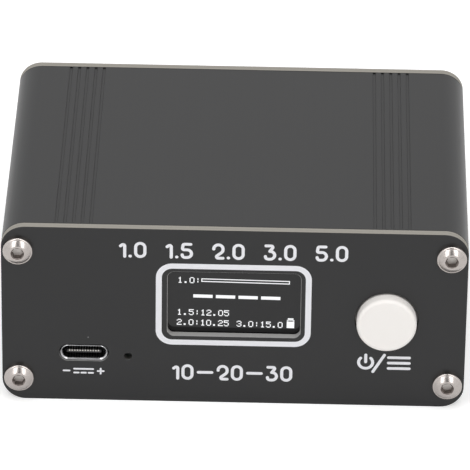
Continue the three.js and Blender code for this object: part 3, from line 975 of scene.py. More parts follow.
def block(bm: BMesh, low: Sequence[float], high: Sequence[float]) -> None:
    """Adds a plain block to a mesh.

    Args:
        bm: The mesh.
        low: The block's corner at the low end of each axis.
        high: Its corner at the high end.
    """
    size = Vector(high) - Vector(low)
    middle = (Vector(high) + Vector(low)) / 2
    matrix = Matrix.Translation(middle) @ Matrix.Diagonal((*size, 1))
    bmesh.ops.create_cube(bm, size=1, matrix=matrix)


def round_edges(bm: BMesh, radius: float, steps: int = 2) -> None:
    """Rounds every sharp edge of a mesh.

    Args:
        bm: The mesh.
        radius: Size of the round.
        steps: Faces across it.
    """
    sharp = [e for e in bm.edges if e.is_manifold and e.calc_face_angle(0) > CREASE]
    bmesh.ops.bevel(
        bm,
        geom=sharp,
        offset=radius,
        offset_type="OFFSET",
        segments=steps,
        profile=0.5,
        affect="EDGES",
        clamp_overlap=True,
        material=-1,
    )


def wound(profile: Sequence[Point], angle: float, steps: int, rise: float = 0.0) -> BMesh:
    """Winds a closed outline of [radius, y] points about the Y axis, as a tube with closed ends.

    Args:
        profile: The outline's corners.
        angle: How far round it goes, in radians.
        steps: Edges along it.
        rise: How far each of those carries it along the axis.

    Returns:
        The tube's mesh.
    """
    bm = bmesh.new()
    section = bm.faces.new([bm.verts.new((r, y, 0)) for r, y in profile])
    bmesh.ops.spin(
        bm,
        geom=[section, *section.edges, *section.verts],
        cent=(0, 0, 0),
        axis=(0, 1, 0),
        dvec=(0, rise, 0),
        angle=angle,
        steps=steps,
    )
    tidy(bm)
    return bm


def ridge(
    radius: float, depth: float, pitch: float, start_y: float, end_y: float, steps: int
) -> BMesh:
    """Makes a screw thread's ridge, as one closed tube wound about the Y axis.

    Its crest is a sixth of the pitch wide, and its foot is sunk a little into the core.

    Args:
        radius: Radius at the crest.
        depth: Height of the ridge.
        pitch: Distance between turns.
        start_y: Y where the ridge starts.
        end_y: Y where it ends.
        steps: Edges on each turn.

    Returns:
        The ridge's mesh.
    """
    half, flat = pitch / 2, pitch / 12
    middle = start_y + half
    sunk = radius - depth - depth / 4
    profile = [
        (sunk, middle - half),
        (radius, middle - flat),
        (radius, middle + flat),
        (sunk, middle + half),
    ]
    turns = (end_y - start_y - pitch) / pitch
    count = round(turns * steps)
    return wound(profile, 2 * math.pi * count / steps, count, pitch / steps)


def join(bm: BMesh, other: BMesh, matrix: Matrix = Matrix()) -> None:
    """Adds another mesh to a mesh.

    Args:
        bm: The mesh that grows.
        other: The mesh that is added, which is freed.
        matrix: What moves the other one first.
    """
    moved = bpy.data.meshes.new("joined")
    other.to_mesh(moved)
    other.free()
    moved.transform(matrix)
    bm.from_mesh(moved)
    bpy.data.meshes.remove(moved)


def metre_mesh(name: str, bm: BMesh) -> bpy.types.Mesh:
    """Turns a mesh in millimetres into a named one in metres.

    Args:
        name: The new mesh's name.
        bm: The mesh, which is freed.

    Returns:
        The new mesh.
    """
    bmesh.ops.scale(bm, vec=(MM, MM, MM), verts=bm.verts)
    mesh = bpy.data.meshes.new(name)
    bm.to_mesh(mesh)
    bm.free()
    return mesh


def add_object(name: str, data: bpy.types.ID) -> bpy.types.Object:
    """Makes an object and adds it to the scene.

    Args:
        name: The object's name.
        data: Its mesh, lamp or camera.

    Returns:
        The new object.
    """
    made = bpy.data.objects.new(name, data)
    bpy.context.scene.collection.objects.link(made)
    return made


def place(
    name: str,
    bm: BMesh,
    slot: Slot,
    replaced: Sequence[str] = (),
    body: Optional[Body] = Body.CASE,
    trims: Sequence[Finish] = (),
    finish: Optional[Finish] = None,
) -> bpy.types.Object:
    """Turns a finished mesh in millimetres into a piece of the object.

    Args:
        name: The piece's name.
        bm: Its mesh, which is freed.
        slot: The record's slot that it takes its finish from.
        replaced: The CAD nodes that it stands for.
        body: The body that it rides on, or None to leave it on neither.
        trims: The finishes of the faces that have material index 1, 2 and so on.
        finish: The finish of the other faces, where it isn't the slot's own.

    Returns:
        The new object.
    """
    mesh = metre_mesh(name, bm)
    mesh.shade_smooth()
    mesh.set_sharp_from_angle(angle=CREASE)
    for dressed in (finish or FINISHES[slot], *trims):
        mesh.materials.append(dressed.material())
    piece = add_object(name, mesh)
    normals = piece.modifiers.new("face weighted normals", "WEIGHTED_NORMAL")
    normals.keep_sharp = True
    if body:
        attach(piece, body.value)
    if replaced:
        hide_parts(*replaced)
    carrier = body.value if body else "both bodies"
    log.info("%s: %d faces, rides on %s", name, len(mesh.polygons), carrier)
    return piece


# Case


@dataclass
class CaseShell:
    """The split case: one extruded section used twice, with the upper half turned over.

    Sizes are those of the section. Heights inside the section count from mid-height.
    """

    wall: float = 1.8
    corner_radius: float = 4.5
    corner_steps: int = 14
    seam_relief: float = 0.12
    end_chamfer: float = 0.16
    groove_count: int = 5
    groove_pitch: float = 1.63
    groove_width: float = 0.5
    groove_depth: float = 0.22
    groove_lip: float = 0.08
    groove_centres: tuple[float, float] = (30.4, -29.55)
    lip_height: float = 1.5
    lip_gap: float = 0.2
    board_gap: float = 0.1
    rail_reach: float = 2.5
    rail_thickness: float = 1.0
    channel_radius: float = 2.6
    channel_bore: float = 1.75
    channel_slot: float = 1.6
    channel_foot_degrees: float = 100.0
    channel_steps: tuple[int, int, int] = (6, 24, 10)
    floor_corner_degrees: float = 230.0
    floor_corner_steps: int = 5

    def grooves(self, half_height: float) -> list[Point]:
        """Lists the outline's points along the underside, from right to left.

        Args:
            half_height: Half the case's height.

        Returns:
            Six points for each fine groove, whose lips are broken by a small slope.
        """
        points: list[Point] = []
        reach, lip = self.groove_width / 2, self.groove_lip
        middle = (self.groove_count - 1) / 2
        for centre in self.groove_centres:
            for i in range(self.groove_count):
                x = centre + (middle - i) * self.groove_pitch
                high, low = -half_height, self.groove_depth - half_height
                points += [(x + reach + lip, high), (x + reach, high + lip), (x + reach, low)]
                points += [(x - reach, low), (x - reach, high + lip), (x - reach - lip, high)]
        return points

    def inner_side(self, half_width: float, half_height: float) -> list[Point]:
        """Lists the inside of the left wall, from its top down to the floor.

        The wall carries two rails that hold the board, and a channel for the case screw.

        Args:
            half_width: Half the case's width.
            half_height: Half the case's height.

        Returns:
            The points, in order.
        """
        board = NodeBox.of("main_board")
        screw = NodeBox.of("screw_front_bottom_left").centre
        wall_x = self.wall - half_width
        rail_x = wall_x + self.rail_reach
        high = board.high.z + self.board_gap - half_height
        low = board.low.z - self.board_gap - half_height
        top = high + self.rail_thickness
        x, z = screw.x, screw.z - half_height
        slot = self.channel_slot / 2
        outer = math.degrees(math.asin(slot / self.channel_radius))
        inner = math.degrees(math.asin(slot / self.channel_bore))
        rail_foot = math.degrees(math.acos((rail_x - x) / self.channel_radius))
        radius = self.corner_radius - self.wall
        floor_x, floor_z = wall_x + radius, self.wall - half_height + radius
        start = self.floor_corner_degrees
        head_steps, bore_steps, foot_steps = self.channel_steps
        return [
            (wall_x, top),
            (rail_x, top),
            (rail_x, high),
            (wall_x, high),
            (wall_x, low),
            (rail_x, low),
            *arc(x, z, self.channel_radius, rail_foot, outer, head_steps),
            *arc(x, z, self.channel_bore, inner, 360 - inner, bore_steps),
            *arc(x, z, self.channel_radius, -outer, -self.channel_foot_degrees, foot_steps),
            *arc(floor_x, floor_z, radius, start, 270, self.floor_corner_steps),
        ]

    def section(self) -> list[Point]:
        """Lists the lower half's outline about the middle of the whole section.

        Returns:
            The points, in order, from the top of the right wall round the underside.
        """
        shell = NodeBox.of("case_bottom")
        panel = NodeBox.of("front_panel")
        half_width, half_height = shell.size.x / 2, panel.size.z / 2
        relief = self.seam_relief
        lip = (self.wall - self.lip_gap) / 2
        corner_x, corner_z = half_width - self.corner_radius, self.corner_radius - half_height
        wall_x = half_width - self.wall
        left = self.inner_side(half_width, half_height)
        right = [(-x, z) for x, z in reversed(left)]
        room_x = wall_x + lip + self.lip_gap
        room_z = -self.lip_height - self.lip_gap
        return [
            (half_width - relief, 0.0),
            (half_width, -relief),
            *arc(corner_x, corner_z, self.corner_radius, 0, -90, self.corner_steps),
            *self.grooves(half_height),
            *arc(-corner_x, corner_z, self.corner_radius, -90, -180, self.corner_steps),
            (-half_width, -relief),
            (relief - half_width, 0.0),
            (-room_x, 0.0),
            (-room_x, room_z),
            (-wall_x, room_z),
            *left,
            *right,
            (wall_x, self.lip_height),
            (wall_x + lip, self.lip_height),
            (wall_x + lip, 0.0),
        ]

    def build(self) -> None:
        """Makes both halves of the case."""
        for node, turn in (("case_bottom", 0.0), ("case_top", math.pi)):
            box = NodeBox.of(node)
            bm = bmesh.new()
            outline = bm.faces.new([bm.verts.new((x, 0, z)) for x, z in self.section()])
            thicken(bm, [outline], box.low.y, box.high.y, self.end_chamfer)
            mid_height = NodeBox.of("front_panel").centre.z
            lift = Matrix.Translation((0, 0, mid_height)) @ Matrix.Rotation(turn, 4, "Y")
            bmesh.ops.transform(bm, matrix=lift, verts=bm.verts)
            place(f"{node}_shell", bm, Slot.CASE_ANODISED, [node])


# Panels


@dataclass
class EndPanels:
    """The two circuit boards that close the case, with their cut edges bare.

    Attributes:
        masked_slope: A chamfer whose normal has more than this of Y keeps its black mask.
        window_lip: In the window the chamfers also take the pale laminate, as painted light, but
            not a chamfer whose normal has more than this of Z, as on the lower edge.
    """

    chamfer: float = 0.07
    screw_hole_radius: float = 1.75
    window_width: float = 25.2
    window_height: float = 14.2
    window_radius: float = 1.3
    window_drop: float = 0.8
    button_gap: float = 0.3
    charging_gap: float = 0.25
    pinhole_radius: float = 0.75
    barrel_gap: float = 0.3
    small_steps: int = 32
    large_steps: int = 72
    masked_slope: float = 0.6
    window_lip: float = 0.3

    # Bare laminate on the outer edge, a darker copy as painted shade in the small holes, and a
    # paler copy as painted light in the window and the slot.
    TRIMS: ClassVar[tuple[Finish, ...]] = (LAMINATE, SMALL_HOLE_SHADE, OPENING_LIGHT)

    def screw_holes(self) -> list[Outline]:
        """Returns the four screw holes."""
        holes: list[Outline] = []
        for level, hand in product(("top", "bottom"), ("left", "right")):
            centre = NodeBox.of(f"screw_front_{level}_{hand}").centre
            holes.append(Disc(centre.x, centre.z, self.screw_hole_radius, self.small_steps))
        return holes

    def window(self) -> RoundedBox:
        """Returns the display window's outline."""
        glass, panel = NodeBox.of("oled_glass"), NodeBox.of("front_panel")
        return RoundedBox(
            panel.centre.x,
            glass.centre.z - self.window_drop,
            self.window_width,
            self.window_height,
            self.window_radius,
        )

    def front_holes(self) -> list[Outline]:
        """Returns the holes for the window, button, charging socket and pinhole."""
        cap, lamp = NodeBox.of("button_cap").centre, NodeBox.of("charge_led").centre
        shell = NodeBox.of("usb_shell")
        cap_radius = PushButton.radius + self.button_gap
        width = shell.size.x + 2 * self.charging_gap
        height = shell.size.z + 2 * self.charging_gap
        corner = ChargingSocket.corner_share * height
        return [
            self.window(),
            Disc(cap.x, cap.z, cap_radius, self.large_steps),
            RoundedBox(shell.centre.x, shell.centre.z, width, height, corner),
            Disc(lamp.x, lamp.z, self.pinhole_radius, self.small_steps),
        ]

    def rear_holes(self) -> list[Outline]:
        """Returns the holes for the coaxial sockets."""
        radius = CoaxSocket.barrel_radius + self.barrel_gap
        centres = [NodeBox.of(f"socket_shell_{port}").centre for port in CoaxSocket.PORTS]
        return [Disc(centre.x, centre.z, radius, self.large_steps) for centre in centres]

    def is_bare(self, face: BMFace, in_window: bool) -> bool:
        """Says whether a face shows the laminate: a cut face, or a chamfer in the window, painted
        light.

        Args:
            face: The face.
            in_window: Whether it lies in the display window.

        Returns:
            Whether the bare laminate shows on it.
        """
        # The window's chamfers take the pale laminate too, as painted light.
        pale_window_edge = in_window and face.normal.z < self.window_lip
        return abs(face.normal.y) < (STRAIGHT if pale_window_edge else self.masked_slope)

    @staticmethod
    def cut_finish(around: Sequence[Outline]) -> Finish:
        """Says which finish a cut face takes: the outer edge's, a small hole's painted shade or an
        opening's painted light.

        Args:
            around: The holes that the face lies in, if any.

        Returns:
            The finish.
        """
        if not around:
            return LAMINATE
        # Small holes get painted shade, the window and the slot painted light.
        return SMALL_HOLE_SHADE if isinstance(around[0], Disc) else OPENING_LIGHT

    def build(self) -> None:
        """Makes both panels, with bare laminate on every edge that was cut."""
        panels = {"front_panel": self.front_holes(), "rear_panel": self.rear_holes()}
        margin = 2 * self.chamfer
        window = self.window()
        for node, openings in panels.items():
            box = NodeBox.of(node)
            x, z, corner = box.centre.x, box.centre.z, CaseShell.corner_radius
            outer = RoundedBox(x, z, box.size.x, box.size.z, corner)
            holes = [*self.screw_holes(), *openings]
            bm = plate(outer, holes, box.low.y, box.high.y, self.chamfer)
            for face in bm.faces:
                middle = face.calc_center_median()
                around = [hole for hole in holes if hole.holds(middle, margin)]
                if self.is_bare(face, window in around):
                    face.material_index = 1 + self.TRIMS.index(self.cut_finish(around))
            place(f"{node}_board", bm, Slot.PANEL_BOARD, [node], trims=self.TRIMS)


@dataclass
class CaseScrews:
    """The eight M3 button-head screws with their hexagon sockets and threads.

    Attributes:
        crown_radius: Where the dome starts, outside the flat round the socket.
        crown_slope_degrees: How steep the dome is there.
        foot_radius: Where the dome ends, at the ledge inside the head's rounded edge.
        foot_slope_degrees: How steep the dome is there.
        mouth_radius: Radius of the countersink over the socket.
        front_turns: Turn of each front screw's socket, in degrees, row by row from the top left.
        rear_turns: The same for the rear screws.
    """

    head_radius: float = 2.84
    head_height: float = 1.65
    crown_radius: float = 1.58
    crown_slope_degrees: float = 30.0
    foot_radius: float = 2.5
    foot_slope_degrees: float = 45.5
    dome_steps: int = 12
    edge_radius: float = 0.32
    edge_steps: int = 6
    mouth_radius: float = 1.26
    mouth_depth: float = 0.16
    hex_across_flats: float = 2.05
    hex_depth: float = 1.4
    floor_rim: float = 0.2
    floor_drop: float = 0.1
    shank_radius: float = 1.5
    thread_pitch: float = 0.5
    thread_depth: float = 0.3
    steps: int = 48
    shank_steps: int = 24
    front_turns: tuple[float, ...] = (30.0, 27.0, 31.0, 19.0)
    rear_turns: tuple[float, ...] = (17.0, 34.0, 51.0, 68.0)

    # The sockets' walls take a darker steel as painted shade, their floors a lighter one as painted
    # light.
    TRIMS: ClassVar[tuple[Finish, ...]] = (SOCKET_WALL_SHADE, SOCKET_FLOOR_LIGHT)

    def outline(self) -> list[Point]:
        """Lists the head's outline, from the socket's mouth over the dome to the seat's middle.

        Returns:
            The points, as [radius, y], with the seat at zero and the crown at -Y.
        """
        top = -self.head_height
        first, last = self.crown_slope_degrees, self.foot_slope_degrees
        starts, ends = math.radians(first), math.radians(last)
        bend = (self.foot_radius - self.crown_radius) / (math.sin(ends) - math.sin(starts))
        across, middle = self.crown_radius - bend * math.sin(starts), top + bend * math.cos(starts)
        ledge = middle - bend * math.cos(ends)
        dome = arc(across, middle, bend, first - 90, last - 90, self.dome_steps)
        edge_x, edge_y = self.head_radius - self.edge_radius, ledge + self.edge_radius
        edge = arc(edge_x, edge_y, self.edge_radius, -90, 0, self.edge_steps)
        return [(self.mouth_radius, top), *dome, *edge, (self.head_radius, 0.0), (0.0, 0.0)]

    def sink_socket(self, bm: BMesh) -> None:
        """Sinks the socket into the head's open crown, down to a shallow point.

        Args:
            bm: The head's mesh.
        """
        top = -self.head_height
        rim = [e for e in bm.edges if e.is_boundary and e.verts[0].co.y < top / 2]
        sides = hexagon(bm, self.hex_across_flats, top + self.mouth_depth, self.steps)
        bmesh.ops.bridge_loops(bm, edges=[*rim, *sides])
        walls = bmesh.ops.extrude_edge_only(bm, edges=sides)["geom"]
        lowered = verts_of(walls)
        depth = self.hex_depth - self.mouth_depth
        bmesh.ops.translate(bm, vec=(0, depth, 0), verts=lowered)
        ring = [e for e in edges_of(walls) if all(v in lowered for v in e.verts)]
        floor = faces_of(bmesh.ops.contextual_create(bm, geom=ring)["faces"])
        bmesh.ops.recalc_face_normals(bm, faces=bm.faces)
        bmesh.ops.inset_region(bm, faces=floor, thickness=self.floor_rim, use_boundary=True)
        point = bmesh.ops.poke(bm, faces=floor)["verts"]
        bmesh.ops.translate(bm, vec=(0, self.floor_drop, 0), verts=point)
        tidy(bm)

    def trim_of(self, face: BMFace) -> int:
        """Says which finish a face of the head takes.

        Args:
            face: The face.

        Returns:
            Its material index: the head's own, the socket wall's painted shade or the floor's
                painted light.
        """
        middle = face.calc_center_median()
        if math.hypot(middle.x, middle.z) >= self.mouth_radius:
            return 0
        # Socket walls get painted shade, and the socket floor painted light.
        if abs(face.normal.y) < STRAIGHT:
            return 1 + self.TRIMS.index(SOCKET_WALL_SHADE)
        is_floor = middle.y > self.hex_depth / 2 - self.head_height
        return 1 + self.TRIMS.index(SOCKET_FLOOR_LIGHT) if is_floor else 0

    def screw(self, length: float) -> BMesh:
        """Returns a whole screw about the Y axis.

        Args:
            length: Length of the shank under the head.

        Returns:
            The screw's mesh.
        """
        bm = turned(self.outline(), 0, 0, self.steps)
        self.sink_socket(bm)
        for face in bm.faces:
            face.material_index = self.trim_of(face)
        tip, steps = self.thread_depth, self.shank_steps
        root = self.shank_radius - tip
        shank = [(0.0, 0.0), (root, 0.0), (root, length - tip), (root - tip, length), (0.0, length)]
        join(bm, turned(shank, 0, 0, steps))
        join(bm, ridge(self.shank_radius, self.thread_depth, self.thread_pitch, 0.0, length, steps))
        return bm

    def build(self) -> None:
        """Makes the eight screws, each turned a little differently."""
        places = product(Side, ("top", "bottom"), ("left", "right"))
        turns = (*self.front_turns, *self.rear_turns)
        for (side, level, hand), degrees in zip(places, turns):
            node = f"screw_{side.value}_{level}_{hand}"
            box, panel = NodeBox.of(node), NodeBox.of(f"{side.value}_panel")
            seat = panel.low.y if side is Side.FRONT else panel.high.y
            bm = self.screw(box.size.y - self.head_height)
            turn = Matrix.Rotation(math.radians(degrees), 4, "Y")
            face = Matrix.Rotation(0 if side is Side.FRONT else math.pi, 4, "Z")
            there = Matrix.Translation((box.centre.x, seat, box.centre.z))
            bmesh.ops.transform(bm, matrix=there @ face @ turn, verts=bm.verts)
            place(f"{node}_bright", bm, Slot.SCREW_STEEL, [node], trims=self.TRIMS)


# Front parts


@dataclass
class PushButton:
    """The round white cap, with its flange behind the panel and its post for the switch."""

    radius: float = 5.69
    edge: float = 0.7
    edge_steps: int = 6
    flange_radius: float = 6.6
    flange_thickness: float = 1.0
    wall: float = 1.2
    face_thickness: float = 1.4
    post_radius: float = 3.2
    dish: float = 0.05
    steps: int = 72

    def build(self) -> None:
        """Makes the cap, hollow from behind and open for the switch's stem."""
        box = NodeBox.of("button_cap")
        front, rear = box.low.y, box.high.y
        rim_radius, rim_y = self.radius - self.edge, front + self.edge
        inner = self.radius - self.wall
        back = front + self.face_thickness
        profile = [
            (0.0, front + self.dish),
            *arc(rim_radius, rim_y, self.edge, -90, 0, self.edge_steps),
            (self.radius, rear - self.flange_thickness),
            (self.flange_radius, rear - self.flange_thickness),
            (self.flange_radius, rear),
            (inner, rear),
            (inner, back),
            (self.post_radius, back),
            (self.post_radius, rear),
            (0.0, rear),
        ]
        bm = turned(profile, box.centre.x, box.centre.z, self.steps)
        place("button_cap_white", bm, Slot.BUTTON_PLASTIC, ["button_cap"], Body.BUTTON)


@dataclass
class SnapDome:
    """The sprung steel dome under the switch's stem, which a press of the button flattens."""

    thickness: float = 0.2
    crown_steps: int = 12
    steps: int = 48

    def build(self) -> None:
        """Makes the dome, on neither body, with its place baked into its mesh."""
        box = NodeBox.of("snap_dome")
        x, z = box.centre.x, box.centre.z
        radius, rise = box.size.x / 2, box.size.y - self.thickness
        shares = [i / self.crown_steps for i in range(self.crown_steps + 1)]
        outer = [(radius * share, box.low.y + rise * share * share) for share in shares]
        inner = [(across, y + self.thickness) for across, y in reversed(outer)]
        bm = turned([*outer, *inner], x, z, self.steps)
        piece = place("snap_dome_leaf", bm, Slot.TINNED_STEEL, ["snap_dome"], None)
        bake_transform(piece)


@dataclass
class ChargingSocket:
    """The reversible charging socket: a stamped shell and a tongue with two rows of contacts."""

    wall: float = 0.31
    lead_in: float = 0.2
    rim_round: float = 0.05
    corner_share: float = 0.48
    corner_steps: int = 16
    tongue_width: float = 6.7
    tongue_thickness: float = 0.7
    tongue_setback: float = 0.45
    tongue_round: float = 0.2
    tongue_round_steps: int = 3
    base_depth: float = 2.2
    gap: float = 0.15
    contact_count: int = 12
    contact_pitch: float = 0.5
    contact_width: float = 0.26
    contact_length: float = 3.2
    contact_setbacks: tuple[float, float] = (-0.06, 0.3)
    contact_depth: float = 0.27
    contact_rise: float = 0.03

    def shell(self, box: NodeBox) -> BMesh:
        """Returns the shell, whose mouth is chamfered inside to lead the plug in.

        Args:
            box: The shell's box.

        Returns:
            The shell's mesh.
        """
        bm = bmesh.new()
        x, z, depth = box.centre.x, box.centre.z, box.size.y
        steps = (
            (0.0, depth),
            (0.0, self.rim_round),
            (self.rim_round, 0.0),
            (self.wall - self.lead_in, 0.0),
            (self.wall, self.lead_in),
            (self.wall, depth),
        )
        loops = []
        for inset, back in steps:
            width, height = box.size.x - 2 * inset, box.size.z - 2 * inset
            radius = self.corner_share * height
            outline = RoundedBox(x, z, width, height, radius, self.corner_steps)
            loops.append(outline.draw(bm, box.low.y + back))
        bridge_round(bm, loops)
        return bm

    def tongue(self, box: NodeBox) -> BMesh:
        """Returns the tongue, with the base that closes the shell behind it.

        Args:
            box: The shell's box.

        Returns:
            The tongue's mesh.
        """
        bm = bmesh.new()
        x, z = box.centre.x, box.centre.z
        half_width, half_height = self.tongue_width / 2, self.tongue_thickness / 2
        front, base_front = box.low.y + self.tongue_setback, box.high.y - self.base_depth
        block(
            bm,
            (x - half_width, front, z - half_height),
            (x + half_width, base_front + self.base_depth / 2, z + half_height),
        )
        round_edges(bm, self.tongue_round, self.tongue_round_steps)
        inner_width, inner_height = box.size.x - 2 * self.wall, box.size.z - 2 * self.wall
        width, height = inner_width - 2 * self.gap, inner_height - 2 * self.gap
        base = RoundedBox(x, z, width, height, self.corner_share * height)
        join(bm, plate(base, [], base_front, box.high.y))
        return bm

    def contacts(self, box: NodeBox) -> BMesh:
        """Returns the contacts, one row on top of the tongue and one under it.

        Args:
            box: The shell's box.

        Returns:
            The contacts' mesh.
        """
        bm = bmesh.new()
        x, z = box.centre.x, box.centre.z
        front = box.low.y + self.tongue_setback
        half_height, reach = self.tongue_thickness / 2, self.contact_width / 2
        for side, setback in zip((1, -1), self.contact_setbacks):
            start = front + setback
            low, high = sorted(
                z + side * (half_height + level)
                for level in (self.contact_rise, -self.contact_depth)
            )
            for i in range(self.contact_count):
                along = x + (i - (self.contact_count - 1) / 2) * self.contact_pitch
                end = start + self.contact_length
                block(bm, (along - reach, start, low), (along + reach, end, high))
        return bm

    def build(self) -> None:
        """Makes the shell, the tongue and the contacts."""
        box = NodeBox.of("usb_shell")
        place("charging_shell", self.shell(box), Slot.TINNED_STEEL, ["usb_shell"])
        place("charging_tongue", self.tongue(box), Slot.BLACK_PLASTIC, ["usb_tongue"])
        place("charging_contacts", self.contacts(box), Slot.GILT_CONTACT, finish=WORN_GILT)


# Printing


@dataclass(frozen=True)
class Stroke:
    """One pen stroke of a printed sign, in shares of the sign's height.

    Attributes:
        points: The corner points that the pen goes through, as [x, z] shares.
        radii: Radius of the line at each inner corner, as a share of the height.
        closed: Whether the stroke meets its own start, and so has no ends.
    """

    points: tuple[Point, ...]
    radii: tuple[float, ...] = ()
    closed: bool = False


SIGNS: dict[str, tuple[Stroke, ...]] = {
    "0": (Stroke(((0, 0.5), (0, 1), (0.6, 1), (0.6, 0), (0, 0), (0, 0.5)), (0.3,) * 4, True),),
    "1": (Stroke(((0, 0.78), (0.27, 1), (0.27, 0)), (0.1,)),),
    "2": (
        Stroke(((0, 0.68), (0, 1), (0.6, 1), (0.6, 0.5), (0, 0), (0.6, 0)), (0.3, 0.3, 0.3, 0.1)),
    ),
    "3": (
        Stroke(((0.03, 1), (0.57, 1), (0.28, 0.59)), (0.1,)),
        Stroke(((0.28, 0.59), (0.6, 0.59), (0.6, 0), (0, 0), (0, 0.2)), (0.29, 0.3, 0.19)),
    ),
    "5": (
        Stroke(
            ((0.55, 1), (0.06, 1), (0, 0.58), (0.6, 0.58), (0.6, 0), (0, 0), (0, 0.2)),
            (0.1, 0.1, 0.28, 0.29, 0.19),
        ),
    ),
    ".": (Stroke(((0, 0.03), (0.02, 0.03))),),
    "-": (Stroke(((0, 0.5), (0.9, 0.5))),),
}


class RoundPen:
    """A round-nibbed pen that lays a stroke as a flat strip, seen from the front.

    The nib is three vertices across the stroke, and the operators draw the strip from it.
    """

    ARC_STEP: ClassVar[float] = math.radians(15)

    def __init__(
        self, bm: BMesh, width: float, start: Point, heading: float, round_end: bool
    ) -> None:
        """Sets the pen down.

        Args:
            bm: The mesh that gets the strip.
            width: Width of the stroke.
            start: Where the pen is set down, as x and z.
            heading: Its direction, in radians counter-clockwise from +X.
            round_end: Whether the stroke starts with a round end.
        """
        self.bm = bm
        self.x, self.z = start
        self.heading = heading
        across_x, across_z = -math.sin(heading) * width / 2, math.cos(heading) * width / 2
        left = bm.verts.new((self.x + across_x, 0, self.z + across_z))
        middle = bm.verts.new((self.x, 0, self.z))
        right = bm.verts.new((self.x - across_x, 0, self.z - across_z))
        self.nib = [left, middle, right]
        self.edges = [bm.edges.new((left, middle)), bm.edges.new((middle, right))]
        if round_end:
            self.sweep([left, middle, self.edges[0]], (self.x, self.z), math.pi)

    def sweep(self, geometry: list[object], centre: Point, angle: float) -> list[object]:
        """Spins geometry about a point of the plane.

        Args:
            geometry: Vertices and edges to sweep.
            centre: The point, as x and z.
            angle: The angle, in radians, counter-clockwise.

        Returns:
            The geometry at the end of the sweep.
        """
        steps = max(1, round(abs(angle) / self.ARC_STEP))
        return bmesh.ops.spin(
            self.bm,
            geom=geometry,
            cent=(centre[0], 0, centre[1]),
            axis=(0, -1, 0),
            angle=angle,
            steps=steps,
        )["geom_last"]

    def take(self, geometry: list[object]) -> None:
        """Makes an operator's last geometry the nib."""
        self.nib = verts_of(geometry)
        self.edges = edges_of(geometry)

    def go(self, length: float) -> None:
        """Draws straight on.

        Args:
            length: How far.
        """
        if length < MERGE_MM:
            return
        made = bmesh.ops.extrude_edge_only(self.bm, edges=self.edges)["geom"]
        verts = verts_of(made)
        step = Vector((math.cos(self.heading), 0, math.sin(self.heading))) * length
        bmesh.ops.translate(self.bm, vec=step, verts=verts)
        self.nib = verts
        self.edges = [e for e in edges_of(made) if all(v in verts for v in e.verts)]
        self.x += step.x
        self.z += step.z

    def turn(self, radius: float, angle: float) -> None:
        """Draws an arc.

        Args:
            radius: Radius of the stroke's middle.
            angle: The angle turned through, in radians, counter-clockwise.
        """
        side = math.copysign(1, angle)
        left = self.heading + side * math.pi / 2
        centre = (self.x + radius * math.cos(left), self.z + radius * math.sin(left))
        self.take(self.sweep([*self.nib, *self.edges], centre, angle))
        self.heading += angle
        back = self.heading - side * math.pi / 2
        self.x = centre[0] + radius * math.cos(back)
        self.z = centre[1] + radius * math.sin(back)

    def lift(self) -> None:
        """Ends the stroke with a round end."""
        heading = Vector((math.cos(self.heading), 0, math.sin(self.heading)))
        right = Vector((heading.z, 0, -heading.x))
        here = Vector((self.x, 0, self.z))
        side = max(self.edges, key=lambda e: sum((v.co - here).dot(right) for v in e.verts))
        self.sweep([*side.verts, side], (self.x, self.z), math.pi)


def add_strip(bm: BMesh, strip: BMesh, lift: float = 0.0) -> None:
    """Gives a flat strip the ink's thickness and adds it to a printed mesh.

    Args:
        bm: The printed mesh, whose ink stands on Y = 0.
        strip: The strip, which is freed.
        lift: How far it stands proud of a strip that it crosses.
    """
    bmesh.ops.remove_doubles(strip, verts=strip.verts, dist=MERGE_MM)
    thicken(strip, list(strip.faces), -INK_MM - lift, 0.0, 0.0)
    join(bm, strip)


def draw_stroke(
    bm: BMesh,
    stroke: Stroke,
    origin: Point,
    size: float,
    width: float,
    lift: float = 0.0,
) -> None:
    """Draws a stroke through its points with the pen.

    Args:
        bm: The mesh that gets the stroke.
        stroke: The stroke.
        origin: The sign's lower left corner, as x and z.
        size: The sign's height.
        width: Width of the line.
        lift: How far it stands proud of a stroke that it crosses.
    """
    strip = bmesh.new()
    points = [Vector((origin[0] + x * size, origin[1] + z * size)) for x, z in stroke.points]
    legs = [end - start for start, end in zip(points, points[1:])]
    headings = [math.atan2(leg.y, leg.x) for leg in legs]
    pen = RoundPen(strip, width, tuple(points[0]), headings[0], not stroke.closed)
    used = 0.0
    for i, leg in enumerate(legs):
        last = i == len(legs) - 1
        turn = 0.0 if last else math.remainder(headings[i + 1] - headings[i], 2 * math.pi)
        radius = 0.0 if last else max(stroke.radii[i] * size, width / 2)
        cut = radius * math.tan(abs(turn) / 2)
        pen.go(leg.length - used - cut)
        if turn:
            pen.turn(radius, turn)
        used = cut
    if not stroke.closed:
        pen.lift()
    add_strip(bm, strip, lift)


